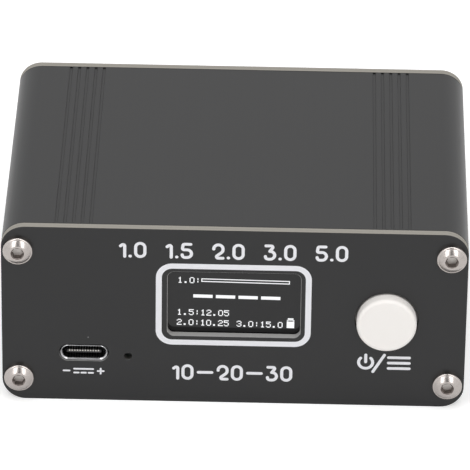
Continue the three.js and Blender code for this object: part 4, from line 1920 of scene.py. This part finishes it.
@dataclass(frozen=True)
class PrintedLine:
    """A printed line of signs, whose spaces share the room that the signs leave.

    Attributes:
        name: The piece's name.
        text: The signs and the spaces between them.
        left: Left end of the line, along X.
        right: Right end of the line.
        low: Bottom of the line, along Z.
        high: Top of the line.
        stroke: Width of the pen's line.
        gap: Gap between neighbouring signs.
    """

    name: str
    text: str
    left: float
    right: float
    low: float
    high: float
    stroke: float
    gap: float

    def mesh(self) -> BMesh:
        """Returns the line's ink."""
        bm = bmesh.new()
        size = self.high - self.low - self.stroke
        widths = {
            character: self.stroke + size * max(x for stroke in strokes for x, _ in stroke.points)
            for character, strokes in SIGNS.items()
        }
        pairs = list(zip(self.text, self.text[1:] + " "))
        gaps = self.gap * sum(" " not in pair for pair in pairs)
        signs = sum(widths[character] for character in self.text if character != " ")
        space = (self.right - self.left - signs - gaps) / self.text.count(" ")
        x = self.left
        for character, following in pairs:
            if character == " ":
                x += space
                continue
            origin = (x + self.stroke / 2, self.low + self.stroke / 2)
            for order, stroke in enumerate(SIGNS[character]):
                draw_stroke(bm, stroke, origin, size, self.stroke, order * CROSSING_MM)
            x += widths[character]
            if following != " ":
                x += self.gap
        return bm


@dataclass
class ScreenPrint:
    """The white printing on the front panel: a frame, plain numbers and common symbols."""

    frame_x: float = -0.1
    frame_width: float = 29.4
    frame_low: float = 12.76
    frame_high: float = 30.65
    frame_stroke: float = 1.12
    frame_radius: float = 3.1

    scale_line: PrintedLine = PrintedLine(
        "scale_numbers", "1.0 1.5 2.0 3.0 5.0", -21.77, 21.33, 31.72, 35.22, 0.6, 0.4
    )
    range_line: PrintedLine = PrintedLine(
        "range_numbers", "10 - 20 - 30", -11.63, 11.27, 4.94, 8.4, 0.6, 0.4
    )

    supply_left: float = -30.3
    supply_right: float = -26.7
    supply_line_z: float = 6.9
    supply_dash_z: float = 6.05
    supply_stroke: float = 0.36
    supply_dashes: int = 3
    dash_share: float = 0.6
    sign_reach: float = 0.56
    sign_gap: float = 1.45

    power_x: float = 25.16
    power_z: float = 9.66
    power_radius: float = 1.34
    power_low: float = 9.75
    power_top: float = 11.3
    power_open_degrees: float = 92.0
    symbol_stroke: float = 0.58
    slash: tuple[Point, Point] = ((26.58, 7.6), (28.7, 11.35))
    menu_left: float = 29.5
    menu_right: float = 33.45
    menu_levels: tuple[float, ...] = (8.4, 9.6, 10.8)

    def lay(self, name: str, bm: BMesh) -> None:
        """Puts printed ink on the panel.

        Args:
            name: The piece's name.
            bm: The ink, which stands on Y = 0.
        """
        face = NodeBox.of("front_panel").low.y
        bmesh.ops.translate(bm, vec=(0, face, 0), verts=bm.verts)
        place(name, bm, Slot.SCREEN_PRINT)

    def line(self, bm: BMesh, start: Point, end: Point, width: float, lift: float = 0.0) -> None:
        """Draws a straight line with round ends."""
        draw_stroke(bm, Stroke((start, end)), (0.0, 0.0), 1.0, width, lift)

    def frame(self) -> None:
        """Prints the frame round the display window."""
        face = NodeBox.of("front_panel").low.y
        centre_z = (self.frame_low + self.frame_high) / 2
        height = self.frame_high - self.frame_low
        rim = 2 * self.frame_stroke
        outer = RoundedBox(self.frame_x, centre_z, self.frame_width, height, self.frame_radius)
        inner = RoundedBox(
            self.frame_x,
            centre_z,
            self.frame_width - rim,
            height - rim,
            self.frame_radius - self.frame_stroke,
        )
        place("display_frame", plate(outer, [inner], face - INK_MM, face), Slot.SCREEN_PRINT)

    def supply_symbol(self) -> None:
        """Prints a direct current symbol between minus and plus under the charging socket."""
        bm = bmesh.new()
        left, right, width = self.supply_left, self.supply_right, self.supply_stroke
        self.line(bm, (left, self.supply_line_z), (right, self.supply_line_z), width)
        pitch = (right - left) / (self.supply_dashes - 1 + self.dash_share)
        for i in range(self.supply_dashes):
            start = left + i * pitch
            end = start + self.dash_share * pitch
            self.line(bm, (start, self.supply_dash_z), (end, self.supply_dash_z), width)
        middle = (self.supply_line_z + self.supply_dash_z) / 2
        minus_x, plus_x, reach = left - self.sign_gap, right + self.sign_gap, self.sign_reach
        for x in (minus_x, plus_x):
            self.line(bm, (x - reach, middle), (x + reach, middle), width)
        self.line(bm, (plus_x, middle - reach), (plus_x, middle + reach), width, CROSSING_MM)
        self.lay("direct_current_symbol", bm)

    def button_symbols(self) -> None:
        """Prints the power symbol, a slash and the three lines of a menu under the button."""
        bm = bmesh.new()
        width = self.symbol_stroke
        start = math.radians(90 + self.power_open_degrees / 2)
        at = (
            self.power_x + self.power_radius * math.cos(start),
            self.power_z + self.power_radius * math.sin(start),
        )
        ring = bmesh.new()
        pen = RoundPen(ring, width, at, start + math.pi / 2, True)
        pen.turn(self.power_radius, math.radians(360 - self.power_open_degrees))
        pen.lift()
        add_strip(bm, ring)
        self.line(bm, (self.power_x, self.power_low), (self.power_x, self.power_top), width)
        self.line(bm, *self.slash, width)
        for level in self.menu_levels:
            self.line(bm, (self.menu_left, level), (self.menu_right, level), width)
        self.lay("button_symbols", bm)

    def build(self) -> None:
        """Prints everything on the front panel."""
        self.frame()
        for printed in (self.scale_line, self.range_line):
            self.lay(printed.name, printed.mesh())
        self.supply_symbol()
        self.button_symbols()


# Display


DOTS: dict[str, str] = {
    "0": "01110 10001 10001 10001 10001 10001 01110",
    "1": "00100 01100 00100 00100 00100 00100 01110",
    "2": "01110 10001 00001 00110 01000 10000 11111",
    "3": "01110 10001 00001 00110 00001 10001 01110",
    "5": "11111 10000 11110 00001 00001 10001 01110",
    ".": "00000 00000 00000 00000 00000 01100 01100",
    ":": "00000 00100 00100 00000 00100 00100 00000",
}


@dataclass
class Display:
    """The small dot display: dark glass, and lit dots that show plain numbers.

    Columns and rows count from the lower left corner of the dot field, which sits a little
    turned behind its window.

    Attributes:
        block_inset: How far the solid signs stay inside their dots' cells.
        advance: Columns from one sign to the next.
        readings: Signs, first column and bottom row of each reading.
        bar: The bar, whose outline is lit.
        battery: The battery's body.
        battery_mark: Its dark mark.
    """

    dot: float = 0.186
    field_left: float = -11.51
    field_low: float = 15.04
    field_turn_degrees: float = 0.75
    glass_chamfer: float = 0.1
    glass_corner_steps: int = 2
    dot_depth: float = 0.015
    block_inset: float = 0.03
    advance: int = 6
    readings: tuple[tuple[str, int, int], ...] = (
        ("1.0:", 4, 55),
        ("1.5:12.05", 4, 17),
        ("2.0:10.25", 4, 5),
        ("3.0:15.0", 65, 5),
    )
    bar: DotBlock = (28, 118, 57, 61)
    dash_row: int = 38
    dash_height: int = 4
    dash_width: int = 20
    dash_pitch: int = 23
    dash_first: int = 20
    dash_count: int = 4
    battery: DotBlock = (116, 124, 5, 15)
    battery_shoulder: int = 1
    battery_cap: int = 2
    battery_mark: DotBlock = (118, 122, 13, 14)

    def light(self, bm: BMesh, dots: DotBlock, inset: float = 0.0) -> None:
        """Lights a block of dots.

        Args:
            bm: The mesh of lit dots.
            dots: The block.
            inset: How far it stays inside its dots' cells.
        """
        left, right, low, high = dots
        front = NodeBox.of("oled_glass").low.y
        x, z, dot = self.field_left, self.field_low, self.dot
        block(
            bm,
            (x + left * dot + inset, front - self.dot_depth, z + low * dot + inset),
            (x + right * dot - inset, front, z + high * dot - inset),
        )

    def write(self, bm: BMesh, text: str, column: int, row: int) -> None:
        """Lights the dots of a reading, one block for each run of lit dots.

        Args:
            bm: The mesh of lit dots.
            text: The signs.
            column: Column of the first sign.
            row: Row of the bottom of the signs.
        """
        for position, character in enumerate(text):
            start = column + position * self.advance
            rows = DOTS[character].split()
            for down, line in enumerate(rows):
                low = row + len(rows) - 1 - down
                for run in re.finditer("1+", line):
                    self.light(bm, (start + run.start(), start + run.end(), low, low + 1))

    def build(self) -> None:
        """Makes the glass and everything that is lit on it."""
        box, chamfer = NodeBox.of("oled_glass"), self.glass_chamfer
        x, z, width, height = box.centre.x, box.centre.z, box.size.x, box.size.z
        outline = RoundedBox(x, z, width, height, chamfer, self.glass_corner_steps)
        glass = plate(outline, [], box.low.y, box.high.y, chamfer)
        place("display_glass_dark", glass, Slot.DISPLAY_GLASS, ["oled_glass"])

        bm = bmesh.new()
        for reading in self.readings:
            self.write(bm, *reading)
        self.empty_bar(bm)
        low, high = self.dash_row, self.dash_row + self.dash_height
        for i in range(self.dash_count):
            start = self.dash_first + i * self.dash_pitch
            self.light(bm, (start, start + self.dash_width, low, high), self.block_inset)
        self.battery_sign(bm)
        turn = Matrix.Rotation(math.radians(self.field_turn_degrees), 3, "Y")
        bmesh.ops.rotate(bm, cent=box.centre, matrix=turn, verts=bm.verts)
        place("display_dots", bm, Slot.DISPLAY_LIGHT)

    def empty_bar(self, bm: BMesh) -> None:
        """Lights the outline of the bar.

        Args:
            bm: The mesh of lit dots.
        """
        left, right, low, high = self.bar
        self.light(bm, (left, right, low, low + 1))
        self.light(bm, (left, right, high - 1, high))
        self.light(bm, (left, left + 1, low + 1, high - 1))
        self.light(bm, (right - 1, right, low + 1, high - 1))

    def battery_sign(self, bm: BMesh) -> None:
        """Lights a small upright battery with a dark mark near its top.

        Args:
            bm: The mesh of lit dots.
        """
        left, right, low, high = self.battery
        mark_left, mark_right, mark_low, mark_high = self.battery_mark
        cap_left, cap_right = left + self.battery_shoulder, right - self.battery_shoulder
        for dots in (
            (left, right, low, mark_low),
            (left, mark_left, mark_low, mark_high),
            (mark_right, right, mark_low, mark_high),
            (left, right, mark_high, high),
            (cap_left, cap_right, high, high + self.battery_cap),
        ):
            self.light(bm, dots, self.block_inset)


# Rear parts


@dataclass
class CoaxSocket:
    """A coaxial socket with a threaded barrel, held in the rear panel by a washer and a nut."""

    port: str
    barrel_radius: float = 7.94
    thread_pitch: float = 1.058
    thread_depth: float = 0.6
    thread_clear: float = 0.9
    chamfer: float = 0.6
    recess_radius: float = 6.2
    recess_depth: float = 6.0
    recess_chamfer: float = 0.3
    flange_radius: float = 9.4
    flange_thickness: float = 2.5
    boss_radius: float = 6.5
    insulator_head: float = 2.0
    insulator_shank: float = 4.2
    contact_radius: float = 2.8
    contact_bore: float = 2.05
    contact_depth: float = 10.0
    contact_slit: float = 0.5
    slit_depth: float = 5.0
    leaf_count: int = 4
    leaf_steps: int = 12
    tail_radius: float = 2.2
    fit_gap: float = 0.15
    nut_flats: float = 19.05
    nut_gap: float = 0.25
    nut_chamfer_degrees: float = 30.0
    nut_face_share: float = 0.97
    steps: int = 72

    PORTS: ClassVar[tuple[str, str]] = ("aerial", "radio")

    def __post_init__(self) -> None:
        """Reads the planes that the pieces share from the frame."""
        shell = self.box("shell")
        self.x, self.z = shell.centre.x, shell.centre.z
        self.mouth = shell.high.y
        self.floor = self.mouth - self.recess_depth
        self.seat = self.floor - self.insulator_head
        self.panel = NodeBox.of("rear_panel").low.y
        self.boss_rear = shell.low.y

    def box(self, part: str) -> NodeBox:
        """Returns the box of one of the socket's CAD nodes."""
        return NodeBox.of(f"socket_{part}_{self.port}")

    def lay(self, part: str, bm: BMesh, slot: Slot) -> None:
        """Places the piece that stands for one of the socket's CAD nodes."""
        place(f"coax_{part}_{self.port}", bm, slot, [f"socket_{part}_{self.port}"])

    def shell(self) -> None:
        """Makes the shell: flange, threaded barrel and stepped bore."""
        smooth_end = self.box("nut").low.y
        root = self.barrel_radius - self.thread_depth
        lead = self.barrel_radius - self.chamfer
        profile = [
            (self.insulator_shank, self.seat),
            (self.insulator_shank, self.boss_rear),
            (self.boss_radius, self.boss_rear),
            (self.boss_radius, self.panel - self.flange_thickness),
            (self.flange_radius, self.panel - self.flange_thickness),
            (self.flange_radius, self.panel),
            (self.barrel_radius, self.panel),
            (self.barrel_radius, smooth_end),
            (root, smooth_end),
            (root, self.mouth - self.thread_clear),
            (lead, self.mouth - self.thread_clear / 2),
            (lead, self.mouth - self.chamfer / 4),
            (lead - self.chamfer / 4, self.mouth),
            (self.recess_radius + self.recess_chamfer, self.mouth),
            (self.recess_radius, self.mouth - self.recess_chamfer),
            (self.recess_radius, self.seat),
            (self.insulator_shank, self.seat),
        ]
        bm = turned(profile, self.x, self.z, self.steps)
        thread = ridge(
            self.barrel_radius,
            self.thread_depth,
            self.thread_pitch,
            smooth_end,
            self.mouth - self.thread_clear / 2,
            self.steps,
        )
        join(bm, thread, Matrix.Translation((self.x, 0, self.z)))
        self.lay("shell", bm, Slot.NICKEL)

    def insulator(self) -> None:
        """Makes the white insulator, which closes the recess."""
        box = self.box("insulator")
        hole = self.contact_radius + self.fit_gap
        shank = self.insulator_shank - self.fit_gap
        head = self.recess_radius - self.fit_gap
        profile = [
            (hole, box.low.y),
            (shank, box.low.y),
            (shank, self.seat + self.fit_gap),
            (head, self.seat + self.fit_gap),
            (head, self.floor),
            (hole, self.floor),
            (hole, box.low.y),
        ]
        bm = turned(profile, self.x, self.z, self.steps)
        round_edges(bm, self.fit_gap)
        self.lay("insulator", bm, Slot.WHITE_PLASTIC)

    def contact(self) -> None:
        """Makes the contact: a tube slit into leaves, with a solder tail behind it."""
        box = self.box("contact")
        tube_rear = self.box("insulator").low.y
        bore_end = self.floor - self.contact_depth
        slit_end = self.floor - self.slit_depth
        bm = bmesh.new()
        solid = [
            (0.0, box.low.y),
            (self.tail_radius, box.low.y),
            (self.tail_radius, tube_rear),
            (self.contact_radius, tube_rear),
            (self.contact_radius, slit_end),
            (self.contact_bore, slit_end),
            (self.contact_bore, bore_end),
            (0.0, bore_end),
        ]
        join(bm, turned(solid, self.x, self.z, self.steps))
        share_degrees = 360 / self.leaf_count
        leaf_degrees = share_degrees - math.degrees(self.contact_slit / self.contact_radius)
        lead = (self.contact_radius - self.contact_bore) / 3
        leaf = [
            (self.contact_bore, slit_end),
            (self.contact_radius, slit_end),
            (self.contact_radius, self.floor - lead),
            (self.contact_radius - lead, self.floor),
            (self.contact_bore + lead, self.floor),
            (self.contact_bore, self.floor - lead),
        ]
        for i in range(self.leaf_count):
            part = wound(leaf, math.radians(leaf_degrees), self.leaf_steps)
            turn = math.radians(share_degrees * i + (share_degrees - leaf_degrees) / 2)
            there = Matrix.Translation((self.x, 0, self.z)) @ Matrix.Rotation(turn, 4, "Y")
            join(bm, part, there)
        self.lay("contact", bm, Slot.GILT_CONTACT)

    def washer(self) -> None:
        """Makes the washer."""
        box = self.box("washer")
        outer = Disc(self.x, self.z, box.size.x / 2, self.steps)
        hole = Disc(self.x, self.z, self.barrel_radius + self.nut_gap, self.steps)
        bm = plate(outer, [hole], box.low.y, box.high.y, self.fit_gap / 2)
        self.lay("washer", bm, Slot.NICKEL)

    def nut(self) -> None:
        """Makes the hexagon nut, with the curved chamfer that a turned cone leaves on its flats."""
        box = self.box("nut")
        bm = bmesh.new()
        face_radius = self.nut_flats / 2 * self.nut_face_share
        hole = self.barrel_radius + self.nut_gap
        loops = [Disc(0, 0, hole + self.fit_gap, self.steps).draw(bm, box.high.y)]
        loops.append(Disc(0, 0, face_radius, self.steps).draw(bm, box.high.y))
        slope = math.tan(math.radians(self.nut_chamfer_degrees))
        for level, falls in ((box.high.y, True), (box.low.y, False)):
            edges = hexagon(bm, self.nut_flats, level, self.steps)
            if falls:
                for vert in {v for e in edges for v in e.verts}:
                    radius = math.hypot(vert.co.x, vert.co.z)
                    vert.co.y -= (radius - face_radius) * slope
            loops.append(edges)
        loops.append(Disc(0, 0, hole, self.steps).draw(bm, box.low.y))
        loops.append(Disc(0, 0, hole, self.steps).draw(bm, box.high.y - self.fit_gap))
        bridge_round(bm, loops)
        bmesh.ops.translate(bm, vec=(self.x, 0, self.z), verts=bm.verts)
        self.lay("nut", bm, Slot.NICKEL)

    def build(self) -> None:
        """Makes the five pieces of the socket."""
        self.shell()
        self.insulator()
        self.contact()
        self.washer()
        self.nut()


class InnerParts:
    """The CAD nodes that keep their own mesh, dressed in the finish of their slot."""

    def build(self) -> None:
        """Dresses every CAD node that no piece replaces."""
        for part in frame["record"]["subparts"]:
            node = frame["nodes"][part["node"]]
            if node.hide_render:
                continue
            node.data.materials.clear()
            node.data.materials.append(FINISHES[Slot(part["material_slot"])].material())
            log.info("%s: dressed as %s", node.name, part["material_slot"])


# Studio


@dataclass
class Studio:
    """A pale floor, soft light and the camera of the photograph. Lengths are in millimetres.

    Attributes:
        floor_glow: What the floor adds where it is seen, so that it shows white.
        floor_mirrored: Share of that glow that reflections get from the floor in front.
        floor_fade: Where along Y that share starts to rise, and where it is full.
        lamp_side: How far each lamp stands to the side, in degrees.
        lamp_splay: How far each lamp leans outwards at its lower end, in degrees.
        card_from: Where the grey card starts, in degrees above the floor in front.
        card_to: Where it ends, past the top.
    """

    floor_radius: float = 3000.0
    floor_steps: int = 96
    floor_colour: str = "#e8e8e8"
    floor_glow: float = 0.42
    floor_mirrored: float = 0.35
    floor_fade: tuple[float, float] = (-35.0, 0.0)
    world_strength: float = 0.45
    lamp_distance: float = 900.0
    lamp_size: tuple[float, float] = (260.0, 1800.0)
    lamp_side: float = 20.0
    lamp_splay: float = 24.0
    lamp_elevation: float = 64.6
    lamp_watts: float = 4.55
    card_distance: float = 3000.0
    card_width: float = 1050.0
    card_from: float = 11.0
    card_to: float = 100.0
    card_steps: int = 12

    focal_length: float = 393.65
    sensor: float = 36.0
    azimuth_degrees: float = 0.776
    elevation_degrees: float = 30.4325
    roll_degrees: float = -0.7556
    distance: float = 982.41
    aim_right: float = 0.43
    aim_up: float = 32.02

    def seen(self, tree: NodeTree, mirrored: Union[float, Socket] = 1.0) -> Socket:
        """Adds a value that is 1 where the camera looks, and 0 for the light that falls on things.

        Args:
            tree: The node tree that gets it.
            mirrored: The value for glossy and transmission rays.

        Returns:
            The value.
        """
        rays = add_node(tree, "ShaderNodeLightPath")
        both = add_node(
            tree,
            "ShaderNodeMath",
            {"Value": out(rays, "Is Glossy Ray"), "Value_001": out(rays, "Is Transmission Ray")},
            operation="MAXIMUM",
        )
        share = add_node(
            tree,
            "ShaderNodeMath",
            {"Value": out(both, "Value"), "Value_001": mirrored},
            operation="MULTIPLY",
        )
        value = add_node(
            tree,
            "ShaderNodeMath",
            {"Value": out(rays, "Is Camera Ray"), "Value_001": out(share, "Value")},
            operation="MAXIMUM",
        )
        return out(value, "Value")

    def floor(self) -> None:
        """Makes the floor, which is white where it is seen and keeps the object's shadow."""
        bm = bmesh.new()
        bmesh.ops.create_circle(
            bm, cap_ends=True, segments=self.floor_steps, radius=self.floor_radius
        )
        mesh = metre_mesh("floor", bm)
        floor = add_object("floor", mesh)
        material = bpy.data.materials.new("pale floor")
        tree = empty_tree(material)
        matt = add_node(tree, "ShaderNodeBsdfDiffuse", {"Color": linear(self.floor_colour)})
        coords = out(add_node(tree, "ShaderNodeTexCoord"), "Object")
        axes = add_node(tree, "ShaderNodeSeparateXYZ", {"Vector": coords})
        fade = add_node(
            tree,
            "ShaderNodeMapRange",
            {
                "Value": out(axes, "Y"),
                "From Min": self.floor_fade[0] * MM,
                "From Max": self.floor_fade[1] * MM,
                "To Min": self.floor_mirrored,
                "To Max": 1.0,
            },
        )
        glow = add_node(
            tree,
            "ShaderNodeMath",
            {"Value": self.seen(tree, out(fade, "Result")), "Value_001": self.floor_glow},
            operation="MULTIPLY",
        )
        light = add_node(tree, "ShaderNodeEmission", {"Strength": out(glow, "Value")})
        both = add_node(
            tree,
            "ShaderNodeAddShader",
            {"Shader": out(matt, "BSDF"), "Shader_001": out(light, "Emission")},
        )
        add_node(tree, "ShaderNodeOutputMaterial", {"Surface": out(both, "Shader")})
        mesh.materials.append(material)

    def world(self) -> None:
        """Sets an even pale surround, which is white where it is seen."""
        world = bpy.data.worlds.new("pale surround")
        bpy.context.scene.world = world
        tree = empty_tree(world)
        strength = add_node(
            tree,
            "ShaderNodeMapRange",
            {"Value": self.seen(tree), "To Min": self.world_strength, "To Max": 1.0},
        )
        sky = add_node(
            tree,
            "ShaderNodeBackground",
            {"Color": (1.0, 1.0, 1.0, 1.0), "Strength": out(strength, "Result")},
        )
        add_node(tree, "ShaderNodeOutputWorld", {"Surface": out(sky, "Background")})

    def grey_card(self) -> None:
        """Bends a grey card far round the front and top, for the grey line on the screw heads."""
        low = math.radians(self.card_from)
        bm = bmesh.new()
        half, reach = self.card_width / 2, self.card_distance
        verts = polyline(bm, [(-half, 0.0), (half, 0.0)])
        towards = (0, -reach * math.cos(low), reach * math.sin(low))
        bmesh.ops.translate(bm, vec=towards, verts=verts)
        bmesh.ops.spin(
            bm,
            geom=[*verts, *bm.edges],
            cent=(0, 0, 0),
            axis=(1, 0, 0),
            angle=math.radians(self.card_from - self.card_to),
            steps=self.card_steps,
        )
        mesh = metre_mesh("grey_card", bm)
        card = add_object("grey_card", mesh)
        mesh.materials.append(GREY_CARD.material())

    def lamp(self, name: str, side: float) -> None:
        """Adds a long soft lamp that bends over the object from low in front to past the top.

        Args:
            name: The lamp's name.
            side: How far it stands to the side of the middle plane, in degrees.
        """
        data = bpy.data.lights.new(name, "AREA")
        data.shape = "RECTANGLE"
        data.size = self.lamp_size[0] * MM
        data.size_y = self.lamp_size[1] * MM
        data.energy = self.lamp_watts
        lamp = add_object(name, data)
        turn, tilt = math.radians(side), math.radians(self.lamp_elevation)
        away = Vector(
            (
                math.sin(turn),
                -math.cos(turn) * math.cos(tilt),
                math.cos(turn) * math.sin(tilt),
            )
        )
        along = Vector((0, math.sin(tilt), math.cos(tilt)))
        lean = math.copysign(math.radians(self.lamp_splay), side)
        along = math.cos(lean) * along - math.sin(lean) * along.cross(away)
        axes = Matrix((along.cross(away), along, away)).transposed().to_4x4()
        lamp.matrix_world = Matrix.Translation(away * self.lamp_distance * MM) @ axes

    def camera(self) -> None:
        """Sets the camera to the photograph's view."""
        turn, tilt = math.radians(self.azimuth_degrees), math.radians(self.elevation_degrees)
        roll = math.radians(self.roll_degrees)
        right = Vector((math.cos(turn), math.sin(turn), 0))
        back = Vector(
            (
                math.sin(turn) * math.cos(tilt),
                -math.cos(turn) * math.cos(tilt),
                math.sin(tilt),
            )
        )
        up = back.cross(right)
        across = math.cos(roll) * right - math.sin(roll) * up
        upward = math.sin(roll) * right + math.cos(roll) * up
        aim = Vector((0, NodeBox.of("front_panel").low.y, 0))
        eye = aim + back * self.distance + across * self.aim_right + upward * self.aim_up
        data = bpy.data.cameras.new("camera")
        data.lens = self.focal_length
        data.sensor_width = self.sensor
        data.sensor_fit = "HORIZONTAL"
        camera = add_object("camera", data)
        axes = Matrix((across, upward, back)).transposed().to_4x4()
        camera.matrix_world = Matrix.Translation(eye * MM) @ axes
        bpy.context.scene.camera = camera

    def build(self) -> None:
        """Sets up the floor, the light and the camera."""
        bpy.context.scene.view_settings.view_transform = "Standard"
        self.floor()
        self.world()
        self.grey_card()
        self.lamp("left lamp", -self.lamp_side)
        self.lamp("right lamp", self.lamp_side)
        self.camera()


def main() -> None:
    """Builds the object and its studio."""
    Studio().build()
    CaseShell().build()
    EndPanels().build()
    CaseScrews().build()
    PushButton().build()
    SnapDome().build()
    ChargingSocket().build()
    ScreenPrint().build()
    Display().build()
    for port in CoaxSocket.PORTS:
        CoaxSocket(port).build()
    InnerParts().build()


if __name__ == "__main__":
    logging.basicConfig(level=logging.INFO, format="%(message)s")
    main()
